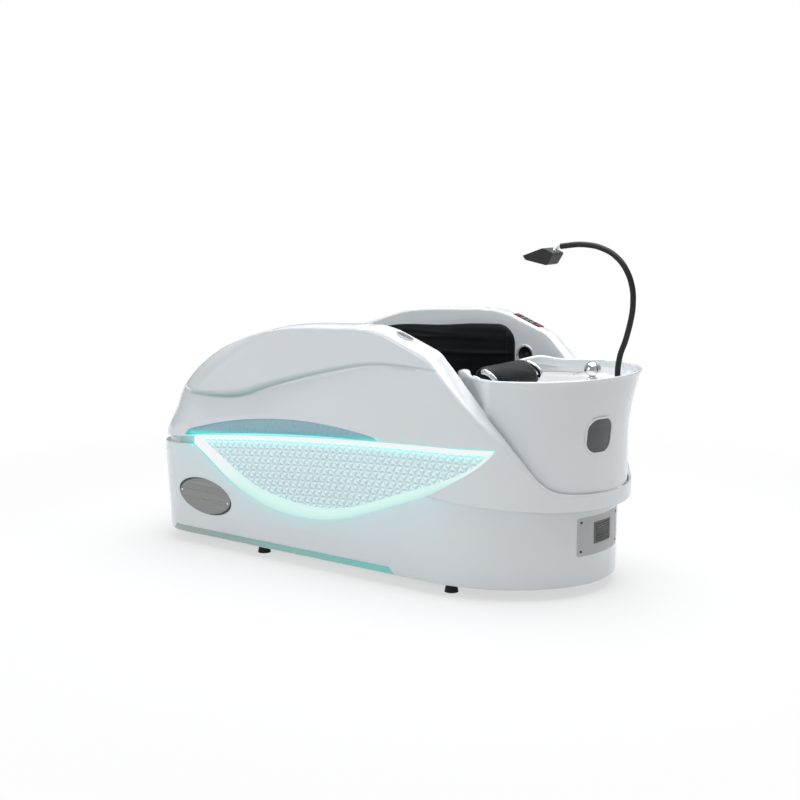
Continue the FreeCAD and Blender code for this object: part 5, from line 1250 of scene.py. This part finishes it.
def lit_facets(side, name):
    """Facet sheet cut to the lens, with the light of each face and the glow of the bands stored on it."""
    facets = facet_sheet(name)
    top, low = arc_through(*drawn(INNER_TOP), 160), fair_curve(drawn(INNER_LOW), 300)
    outline = np.concatenate([top, low[::-1][1:-1]])
    reach = [[(x, y, z) for x, z in outline] for y in (-CUTTER_REACH, -300.0)]
    keep = closed_tube(name + "_keep", reach)
    cut = facets.modifiers.new("cut", "BOOLEAN")
    cut.operation, cut.solver, cut.object = "INTERSECT", "EXACT", keep
    settle(facets)
    discard(keep)
    mesh = facets.data
    face_light = mesh.attributes.new("face_light", "FLOAT", "CORNER")
    edge_glow = mesh.attributes.new("edge_glow", "FLOAT", "CORNER")
    high, deep = height_over(top, False), height_over(low, False)
    for face in mesh.polygons:
        # Painted light and shade: a face is painted lighter the more it turns up and darker the more it turns
        # down, and lighter towards its peak.
        upward = face.normal.z / math.sin(math.radians(46))
        base = float(np.interp(upward, [-1, -0.5, 0.5, 1], [0.0, 0.16, 0.85, 1.0]))
        for loop in face.loop_indices:
            x, y, z = mesh.vertices[mesh.loops[loop].vertex_index].co / MM
            inset = float(side_y(x, 0)) - HALF + float(side_half(z)) + y
            raised = float(np.clip((FACET_VALLEY - inset) / (FACET_VALLEY - FACET_PEAK), 0, 1))
            face_light.data[loop].value = base * (0.62 + 0.38 * raised) + 0.06 * (1 - raised)
            # Painted glow of the bands: strongest just below the upper band, faint by the lower band.
            from_top, from_low = max(0.0, float(high(x)) - z), max(0.0, z - float(deep(x)))
            glow = (0.95 * math.exp(-(from_top / 15) ** 1.5) + 0.10 * math.exp(-from_top / 110)
                    + 0.06 * math.exp(-from_low / 25))
            edge_glow.data[loop].value = min(1.0, glow)
    mesh.polygons.foreach_set("use_smooth", [False] * len(mesh.polygons))
    if side == FAR:
        far = mirrored_copy(facets, name + "_far")
        discard(facets)
        far.name = far.data.name = name
        return far
    return facets


# Basin
def basin_half_plan(head, half, reach, neck, neck_half, count=(90, 60, 46)):
    """Near side of the basin's plan from its head to the middle of the neck wall."""
    centre = head - reach
    turn = np.linspace(0, math.pi / 2, count[0], endpoint=False)
    curve = np.stack([centre + reach * np.cos(turn), -half * np.sin(turn)], axis=1)
    middle = ((centre + neck) / 2, -(half - 0.38 * (half - neck_half)))
    flank = arc_through((centre, -half), middle, (neck, -neck_half), count[1])
    wall = np.stack([np.full(count[2], neck), np.linspace(-neck_half, 0, count[2])], axis=1)
    points = np.concatenate([curve, flank, wall[1:]])
    corner = count[0] + count[1] - 1
    for _ in range(22):
        low, high = corner - 12, corner + 6
        points[low:high] = (0.25 * points[low - 1:high - 1] + 0.5 * points[low:high]
                            + 0.25 * points[low + 1:high + 1])
    return points


def basin_row(z, inset, tilt_share=0.0):
    """A station ring of the basin's wall at a height, moved in."""
    rise = np.clip((z - BASIN_SEAT) / (RIM_HEIGHT - BASIN_SEAT), 0, 1)
    line = fair_curve(BASIN_WALL, 60)
    flare = max(0.0, float(np.interp(rise, line[:, 0], line[:, 1])))
    wide = max(0.0, float(np.interp(rise, line[:, 0], line[:, 2])))
    head, half = HEAD - 7 + 47 * flare - inset, 360 + 25 * wide - inset
    plan = basin_half_plan(head, half, BASIN_REACH - inset, NECK_X + inset, NECK_HALF - inset)
    heights = z + (plan[:, 0] - (head - BASIN_REACH)) * math.tan(math.radians(RIM_TILT)) * tilt_share
    return np.column_stack([plan, heights])


def basin_wall():
    """Flared basin wall with a rolled rim, and the notch for the neck between two horns."""
    base = basin_row(RIM_HEIGHT, 0, 1.0)
    full = base[:, 2]
    far_out = np.abs(base[:, 1])
    at_neck = base[:, 0] < NECK_X + 60
    corner = 34.0
    drop = np.where(at_neck, soft_step(NECK_HALF - 8 - far_out, 0, corner + 22), 0.0)
    horn_at = np.argmax(np.where(at_neck, far_out, 0))
    off_horn = np.hypot(base[:, 0] - base[horn_at, 0], base[:, 1] - base[horn_at, 1])
    horn = np.exp(-(off_horn / 60) ** 2)
    top = full + 17 * horn - drop * (full + 17 * horn - 796)
    top = eased(top, 4)
    bead = 6.5
    stouter = 1 + 0.9 * horn
    rows = []

    def row(share, inset, z_from_top=0.0, stout=False):
        level = BASIN_SEAT + share * (RIM_HEIGHT - BASIN_SEAT)
        points = basin_row(level, inset)
        if stout:
            deeper = basin_row(level, inset + 8)
            points += (deeper - points) * ((stouter - 1) * inset / 8)[:, None]
        points[:, 2] = BASIN_SEAT + share * (top - BASIN_SEAT) + z_from_top
        return points

    rows.append(row(0, BASIN_THICK))
    rows.append(row(0, 2.5))
    rows.append(row(0.004, 0.4))
    for share in np.linspace(0.01, 0.965, 60):
        rows.append(row(share, 0))
    for turn in np.linspace(0, math.pi, 15):
        inset = bead * (1 - math.cos(turn)) + 0.2
        rows.append(row(1, inset, -bead + bead * math.sin(turn), True))
    rows.append(row(1, BASIN_THICK + 4.0, -bead - 9, True))
    rows.append(row(0.95, BASIN_THICK + 1.0, -bead - 6, True))
    for share in np.linspace(0.93, 0, 40):
        rows.append(row(share, BASIN_THICK))
    wall = closed_ring("basin_wall", rows)
    outline = round_cornered(-WINDOW_ASIDE, WINDOW_WIDTH / 2, WINDOW_AT - WINDOW_HEIGHT / 2,
                             WINDOW_AT + WINDOW_HEIGHT / 2, WINDOW_WIDTH * 0.38, 14)
    window = [[(x, y, z) for y, z in outline] for x in (HEAD - 200.0, HEAD + 90.0)]
    cut_with(wall, [closed_tube("window_cut", window)])
    crisp(wall, 32)
    return finish_piece(wall, "bed", "gelcoat", gelcoat(), "basin_housing")


def bowl_row(centre, head, neck, half, neck_half, share, grow, z):
    plan = basin_half_plan(centre + (head - centre) * share + grow, half * share + grow,
                           BASIN_REACH * share * 0.6 + grow, centre + (neck - centre) * share - grow,
                           neck_half * share + grow)
    return np.column_stack([plan, np.full(len(plan), z)])


def washing_bowl():
    """Deck and deep bowl in one skin with a soft brim and a round drain seat."""
    head, half = HEAD + 40 - 190, 385 - 8 - 34.0
    neck, neck_half = NECK_X + 8 + 30, NECK_HALF - 8 - 34
    centre = (head + neck) / 2

    def shape(share, grow, z):
        return bowl_row(centre, head, neck, half, neck_half, share, grow, z)

    floor = DECK - BOWL_DEPTH
    drops = fair_curve([(0, 1), (0.5, 0.86), (0.85, 0.68), (1, 0.5)], 80)
    outer = basin_row(DECK, BASIN_THICK + 0.3)
    rim = shape(1, 0, DECK)
    rows = []
    for share in (0, 0.15, 0.35, 0.6, 0.8, 0.93):
        points = outer + (rim - outer) * share
        points[:, 2] = DECK
        rows.append(points)
    for turn in np.linspace(0, math.pi / 2, 7)[1:]:
        rows.append(shape(1, 9 - 9 * math.sin(turn), DECK - 9 * (1 - math.cos(turn))))
    for drop in np.linspace(0.06, 0.93, 26):
        rows.append(shape(float(np.interp(drop, drops[:, 0], drops[:, 1])), 0, DECK - drop * BOWL_DEPTH))
    lowest = rows[-1][0][2]
    ring_plan = rows[-1].copy()
    angle = np.arctan2(ring_plan[:, 1], ring_plan[:, 0] - centre)
    hole = np.column_stack([centre + DRAIN_RADIUS * np.cos(angle), DRAIN_RADIUS * np.sin(angle),
                            np.full(len(angle), floor)])
    for share in np.linspace(0, 1, 16)[1:]:
        points = ring_plan + (hole - ring_plan) * share
        points[:, 2] = floor + (lowest - floor) * (1 - share) ** 2.6
        rows.append(points)
    under = [row.copy() for row in reversed(rows)]
    for row in under:
        away = row[:, :2] - np.array([centre, 0])
        row[:, 2] -= BOWL_WALL
        length = np.linalg.norm(away, axis=1, keepdims=True)
        row[:, :2] += away / length * np.where(np.abs(row[:, 2:3] + BOWL_WALL - DECK) < 0.1, 0, 3.5)
    for row in under[-6:]:
        row[:, 2] = DECK - DECK_THICK
    bowl = closed_ring("washing_bowl", rows + under)
    crisp(bowl, 40)
    return finish_piece(bowl, "bed", "bowl_white", bowl_white(), "basin_bowl")


# Upholstery
def plumped(node, name, cap, pressure=4.0, voxel=5.0):
    """A cushion blown up from the packed block by a short cloth run."""
    soft = node_copy(node, name)
    start = soft.modifiers.new("remesh", "REMESH")
    start.mode, start.voxel_size = "VOXEL", voxel * MM
    settle(soft)
    low, high = (Vector(corner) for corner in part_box(node))
    rest = np.array([v.co for v in soft.data.vertices])
    cloth = soft.modifiers.new("cloth", "CLOTH")
    cloth.settings.use_pressure = True
    cloth.settings.uniform_pressure_force = pressure
    cloth.settings.effector_weights.gravity = 0
    cloth.settings.quality = 5
    cloth.point_cache.frame_start, cloth.point_cache.frame_end = 1, 20
    for step in range(1, 21):
        bpy.context.scene.frame_set(step)
    settle(soft)
    bpy.context.scene.frame_set(1)
    moved = np.array([v.co for v in soft.data.vertices]) - rest
    reach = np.linalg.norm(moved, axis=1, keepdims=True)
    moved *= np.minimum(1, cap * MM / np.maximum(reach, 1e-9))
    place = np.clip(rest + moved, np.array(low) - 0.002, np.array(high) + 0.006)
    soft.data.vertices.foreach_set("co", place.astype(np.float32).ravel())
    smooth = soft.modifiers.new("smooth", "SMOOTH")
    smooth.factor, smooth.iterations = 0.5, 4
    settle(soft)
    soft.data.shade_smooth()
    return soft


def rest_arms():
    """Arms of the neck rest, from the pin round the roll's front and over its end, and the two bars."""
    pin, front, arm_y = (438.0, 795.0), (544.5, 769.4), 155.0
    bend = [pin, (460, 793), (492, 782), (522, 773), (544, 771), (553, 783), (541, 803), (518, 818),
            (491, 826)]
    line = spread(fair_curve(bend, 240), 90)
    ahead = np.gradient(line, axis=0)
    ahead /= np.linalg.norm(ahead, axis=1, keepdims=True)
    run = np.linspace(0, 1, len(line)) * np.linalg.norm(np.diff(line, axis=0), axis=1).sum()
    to_end = np.minimum(run, run[-1] - run)
    full = np.sqrt(np.clip(1 - (1 - to_end / 9.0) ** 2, 0.02, 1) * (to_end < 9) + (to_end >= 9))
    round_off = np.linspace(0, 2 * math.pi, 28, endpoint=False)
    parts = []
    for side in (NEAR, FAR):
        rows = []
        for (x, z), (dx, dz), size in zip(line, ahead, full):
            flat, deep = 10.5 * size * np.cos(round_off), 5.5 * size * np.sin(round_off)
            rows.append(np.column_stack([x - dz * flat, side * arm_y + deep, z + dx * flat]))
        parts.append(closed_tube("arm", rows))
        stud = [(141, 9), (149, 9), (150.5, 10.5), (161, 10.5), (162.2, 9.3), (162.6, 6)]
        parts.append(turned_bar((496, 825), [(side * y, radius) for y, radius in stud]))
    for spot, reach in ((pin, 176.5), (front, 155.0)):
        ends = [(-reach, 5.2), (0.8 - reach, 6), (reach - 0.8, 6), (reach, 5.2)]
        parts.append(turned_bar(spot, ends))
    return joined(parts, "rest_arms")


def turned_bar(spot, profile):
    """A round bar across the bed at a place in the side view, from widths along it."""
    turns = np.linspace(0, 2 * math.pi, 32, endpoint=False)
    rows = [[(spot[0] + radius * math.cos(t), y, spot[1] + radius * math.sin(t)) for t in turns]
            for y, radius in profile]
    return closed_tube("bar", rows, angle=35)


def joined(parts, name):
    """Several closed forms as one piece."""
    work = bmesh.new()
    for part in parts:
        work.from_mesh(part.data)
    mesh = bpy.data.meshes.new(name)
    work.to_mesh(mesh)
    work.free()
    for part in parts:
        discard(part)
    whole = bpy.data.objects.new(name, mesh)
    bpy.context.scene.collection.objects.link(whole)
    return crisp(whole, 40)


def crease_field(x, z, seed, count, span_x, span_z):
    """Long soft folds in leather, nearly level, as a height between nought and one."""
    pick = np.random.default_rng(seed)
    value = np.zeros_like(x)
    for _ in range(count):
        cx, cz = pick.uniform(*span_x), pick.uniform(*span_z)
        length, width = pick.uniform(120, 460), pick.uniform(3, 9)
        lean, bow = pick.uniform(-0.04, 0.10), pick.uniform(-0.00016, 0.00016)
        height = pick.uniform(0.1, 0.8)
        dx = x - cx
        dz = z - cz - lean * dx - bow * dx * dx
        value += height * np.exp(-(dz / width) ** 2) * np.exp(-(dx / length) ** 2)
    return np.tanh(value)


def side_lining(side, name):
    """Padded leather lining on the cockpit's wall, gathered into long level folds."""
    top = fair_curve(drawn(LINING_TOP), 160)
    corner = arc_through(*drawn([(0.612, 0.940), (0.648, 0.913), (0.6575, 0.866)]), 24)
    edge = np.concatenate([top, corner[1:]])
    columns, depth = 230, 70
    x = np.linspace(edge[0, 0], edge[-1, 0] - 0.5, columns)
    high = np.interp(x, edge[:, 0], edge[:, 1])
    low = 470.0
    grid_x = np.repeat(x[None, :], depth, axis=0)
    grid_z = low + np.linspace(0, 1, depth)[:, None] * (high[None, :] - low)
    from_side = np.minimum(grid_x - x[0], x[-1] - grid_x)
    rim = np.minimum(np.minimum(high[None, :] - grid_z, grid_z - low + 30), from_side)
    puff = np.sqrt(np.clip(1 - (1 - np.clip(rim / 26, 0, 1)) ** 2, 0, 1))
    folds = crease_field(grid_x, grid_z, 11, 34, (x[0], x[-1]), (560, 900))
    seam = np.exp(-((grid_x - 250) / 4.0) ** 2)
    thick = 3.0 + puff * (6.8 + 4.4 * folds) - 2.6 * seam * puff
    front = np.stack([grid_x, -(COCKPIT_HALF - 0.4 - thick), grid_z], axis=2)
    back = np.stack([grid_x, np.full_like(grid_x, -(COCKPIT_HALF - 0.4)), grid_z], axis=2)
    sheet = np.concatenate([front, back[::-1]], axis=0)
    lining = lattice(name, sheet, round_rows=True)
    with opened(lining) as work:
        bmesh.ops.holes_fill(work, edges=[line for line in work.edges if len(line.link_faces) == 1])
        bmesh.ops.recalc_face_normals(work, faces=work.faces)
    if side == FAR:
        far = mirrored_copy(lining, name)
        discard(lining)
        far.name = name
        lining = far
    return crisp(lining, 60)


# Operators and panel
def colour_property(name, description, default):
    return FloatVectorProperty(name=name, description=description, size=3, subtype="COLOR_GAMMA",
                               default=default, min=0, max=1)


class BedLooks(bpy.types.PropertyGroup):
    shell_colour: colour_property("Shell colour", "White of the gelcoat mouldings", (0.885, 0.90, 0.91))
    leather_colour: colour_property("Leather colour", "Black of the upholstery", (0.046, 0.062, 0.070))
    glow_colour: colour_property("Glow colour", "Aqua light that runs into the facets", (0.87, 1.0, 0.98))
    band_glow: FloatProperty(name="Band glow", description="Brightness of the light bands",
                             default=0.95, min=0)
    facet_glow: FloatProperty(name="Facet glow", description="Brightness of the light inside the facets",
                              default=0.42, min=0)
    wave_depth: FloatProperty(name="Wave depth", description="How far the wave across the side overhangs",
                              default=0.012, min=0, max=0.02, unit="LENGTH")
    floor_size: FloatProperty(name="Floor size", description="Length of the studio floor",
                              default=40.0, unit="LENGTH")


STEPS = []


def step(verb, label):
    """Make an operator of a function, with the function's own words as its tooltip."""
    def made(action):
        def execute(self, context):
            action(context.scene)
            return {"FINISHED"}
        parts = {"bl_idname": "bed." + verb, "bl_label": label, "__doc__": action.__doc__, "execute": execute}
        STEPS.append(type("BED_OT_" + verb, (bpy.types.Operator,), parts))
        return action
    return made


@step("stage", "Stage")
def stage(scene):
    """Pale floor, white surround, soft lamps and the camera"""
    scene.view_settings.view_transform = "Standard"
    studio_floor()
    studio_world(scene)
    studio_lamps(scene)
    studio_camera(scene)


def studio_floor():
    size = settings().floor_size / MM / 2
    floor = build_mesh("floor", [(-size, -size, 0), (size, -size, 0), (size, size, 0), (-size, size, 0)],
                       [(0, 1, 2, 3)])
    made = Finish("Pale floor", (0.94, 0.94, 0.94), 0.9)
    place = made.place()
    cloud = made.noise(place, 0.8, 3.0)
    made.set("Base Color", made.blend(cloud, linear((0.93, 0.93, 0.93)), linear((0.95, 0.95, 0.95))))
    away = made.add("ShaderNodeVectorMath", {"operation": "LENGTH"}, {0: place}, 1)
    path = made.tree.nodes.new("ShaderNodeLightPath")
    seen = Signal(made, path.outputs["Is Camera Ray"]) + Signal(made, path.outputs["Is Glossy Ray"])
    seen = (seen + Signal(made, path.outputs["Is Transmission Ray"])).held()
    white = made.tree.nodes.new("ShaderNodeEmission")
    white.inputs["Color"].default_value = (1, 1, 1, 1)
    mix = made.tree.nodes.new("ShaderNodeMixShader")
    made.tree.links.new((seen * made.span(away, 1.0, 3.2, 0.62, 1.0)).socket, mix.inputs[0])
    made.tree.links.new(made.shader.outputs[0], mix.inputs[1])
    made.tree.links.new(white.outputs[0], mix.inputs[2])
    made.tree.links.new(mix.outputs[0], made.output.inputs[0])
    floor.data.materials.append(made.material)


def studio_world(scene):
    world = bpy.data.worlds.new("Studio")
    scene.world = world
    world.use_nodes = True
    tree = world.node_tree
    tree.nodes.clear()
    out = tree.nodes.new("ShaderNodeOutputWorld")
    plain, lit = tree.nodes.new("ShaderNodeBackground"), tree.nodes.new("ShaderNodeBackground")
    plain.inputs[0].default_value, plain.inputs[1].default_value = (0.93, 0.96, 1.0, 1), 0.37
    lit.inputs[0].default_value, lit.inputs[1].default_value = (1, 1, 1, 1), 1.0
    path, mix = tree.nodes.new("ShaderNodeLightPath"), tree.nodes.new("ShaderNodeMixShader")
    tree.links.new(path.outputs["Is Camera Ray"], mix.inputs[0])
    tree.links.new(plain.outputs[0], mix.inputs[1])
    tree.links.new(lit.outputs[0], mix.inputs[2])
    tree.links.new(mix.outputs[0], out.inputs[0])


def studio_lamps(scene):
    lamps = [
        ("overhead", (0.2, 0.3, 3.6), (0, 0, 0.4), (4.5, 3.2), 168, (1, 1, 1)),
        ("window_side", (-1.9, -4.7, 2.5), (-0.3, 0, 0.6), (2.4, 2.4), 44, (0.98, 0.99, 1)),
        ("head_side", (4.2, -1.2, 2.2), (0.5, 0, 0.7), (1.6, 2.2), 2, (1, 0.985, 0.97)),
        ("behind", (0.5, 4.2, 3.2), (0, 0, 0.8), (3.2, 1.8), 14, (1, 1, 1)),
    ]
    for name, place, target, area, power, colour in lamps:
        data = bpy.data.lights.new(name, "AREA")
        data.shape, data.size, data.size_y = "RECTANGLE", area[0], area[1]
        data.energy, data.color = power, colour
        lamp = bpy.data.objects.new(name, data)
        lamp.location = place
        aim = Vector(target) - Vector(place)
        lamp.rotation_euler = aim.to_track_quat("-Z", "Y").to_euler()
        scene.collection.objects.link(lamp)


def studio_camera(scene):
    """Camera fitted to the outlines of the bed."""
    camera = bpy.data.cameras.new("camera")
    camera.sensor_width, camera.lens = SENSOR, FOCAL_PIXELS / PICTURE_WIDTH * SENSOR
    camera.clip_end = 200
    view = bpy.data.objects.new("camera", camera)
    view.location = CAMERA_PLACE
    view.rotation_euler = (math.radians(90 - LOOKING_DOWN), 0, math.radians(CAMERA_TURN))
    scene.collection.objects.link(view)
    scene.camera = view


@step("mouldings", "Mouldings")
def mouldings(scene):
    """Upper and lower gelcoat mouldings"""
    upper_moulding()
    lower_moulding()


@step("lit_sides", "Lit sides")
def lit_sides(scene):
    """Light bands, glowing facets and the arc above them on both sides"""
    for side, word in ((NEAR, "near"), (FAR, "far")):
        finish_piece(light_bands(side, "light_rim_" + word), "bed", "light", light_diffuser(),
                     "light_band_" + word)
        finish_piece(lit_facets(side, "facets_" + word), "bed", "facets", glowing_facets(),
                     "facet_panel_" + word)
        paint(recess_blue(), "recess_panel_" + word)


@step("trims", "Trims")
def trims(scene):
    """Skirting strips, oval cover plate, service panel and their screws"""
    paint(strip_silver(), "skirting_strip_near", "skirting_strip_far")
    paint(plate_silver(), "oval_plate")
    paint(panel_grey(), "service_panel")
    paint(grille_bronze(), "service_grille")
    paint(bright_screw(), "oval_plate_screws")
    paint(dark_screw(), "service_panel_screws")


@step("basin", "Basin")
def basin(scene):
    """Basin wall, bowl, window and drain"""
    basin_wall()
    washing_bowl()
    paint(window_slate(), "basin_window")
    paint(gelcoat(), "window_bezel")
    paint(chrome(), "drain_flange", "drain_plug")
    paint(pipe_white(), "waste_pipe")


@step("upholstery", "Upholstery")
def upholstery(scene):
    """Seat and back cushions and the padded side linings"""
    for node, name in (("seat_cushion", "seat_pad"), ("back_cushion", "back_pad")):
        pad = plumped(node, name, 22)
        finish_piece(pad, "bed", "leather_black", black_leather(), node)
    for side, word in ((NEAR, "near"), (FAR, "far")):
        lining = side_lining(side, "lining_" + word)
        finish_piece(lining, "bed", "leather_black", black_leather(), "side_lining_" + word)


@step("neck_rest", "Neck rest")
def neck_rest(scene):
    """Neck roll on its two bent rods"""
    roll = plumped("neck_cushion", "neck_roll", 6, voxel=3.5)
    finish_piece(roll, "neck_rest", "leather_black", black_leather(), "neck_cushion")
    finish_piece(rest_arms(), "neck_rest", "chrome", chrome(), "neck_rest_rods")
    paint(chrome(), "neck_rest_bracket")


@step("water", "Mixer and water arm")
def water(scene):
    """Mixer, gooseneck arm and nozzle"""
    paint(chrome(), "mixer_body", "mixer_ball", "mixer_handle", "arm_socket", "arm_ferrule", "nozzle_joint")
    paint(hose_black(), "gooseneck_arm", "nozzle_face")
    paint(nozzle_black(), "nozzle_head")


@step("controls", "Controls and speaker")
def controls(scene):
    """Console with its buttons and keys, touch switch and speaker"""
    paint(console_black(), "console_panel")
    paint(button_red(), "red_button_1", "red_button_2")
    paint(key_grey(), *["console_key_%d" % i for i in range(1, 7)])
    paint(speaker_silver(), "speaker_ring", "oval_switch_bezel")
    paint(speaker_black(), "speaker_cone")
    paint(screw_steel(), "speaker_screws")
    paint(switch_mauve(), "oval_switch_lens")


@step("inside", "Frame and equipment")
def inside(scene):
    """Frame, feet, boards and the equipment under the bed"""
    paint(frame_black(), "base_frame", "equipment_tray")
    paint(foot_rubber(), "levelling_feet")
    paint(plywood(), "seat_board", "back_board")
    paint(unit_steel(), "power_supply", "water_pump")


class BED_PT_looks(bpy.types.Panel):
    bl_idname = "BED_PT_looks"
    bl_label = "Washing bed"
    bl_space_type = "VIEW_3D"
    bl_region_type = "UI"
    bl_category = "Washing bed"

    def draw(self, context):
        looks = context.scene.washing_bed
        for name in BedLooks.__annotations__:
            self.layout.prop(looks, name)
        for step in STEPS:
            self.layout.operator(step.bl_idname)


def register():
    for item in (BedLooks, *STEPS, BED_PT_looks):
        bpy.utils.register_class(item)
    bpy.types.Scene.washing_bed = PointerProperty(type=BedLooks)


def unregister():
    del bpy.types.Scene.washing_bed
    for item in reversed((BedLooks, *STEPS, BED_PT_looks)):
        bpy.utils.unregister_class(item)


def main():
    register()
    for step in STEPS:
        area, verb = step.bl_idname.split(".")
        getattr(getattr(bpy.ops, area), verb)()


if __name__ == "__main__":
    main()
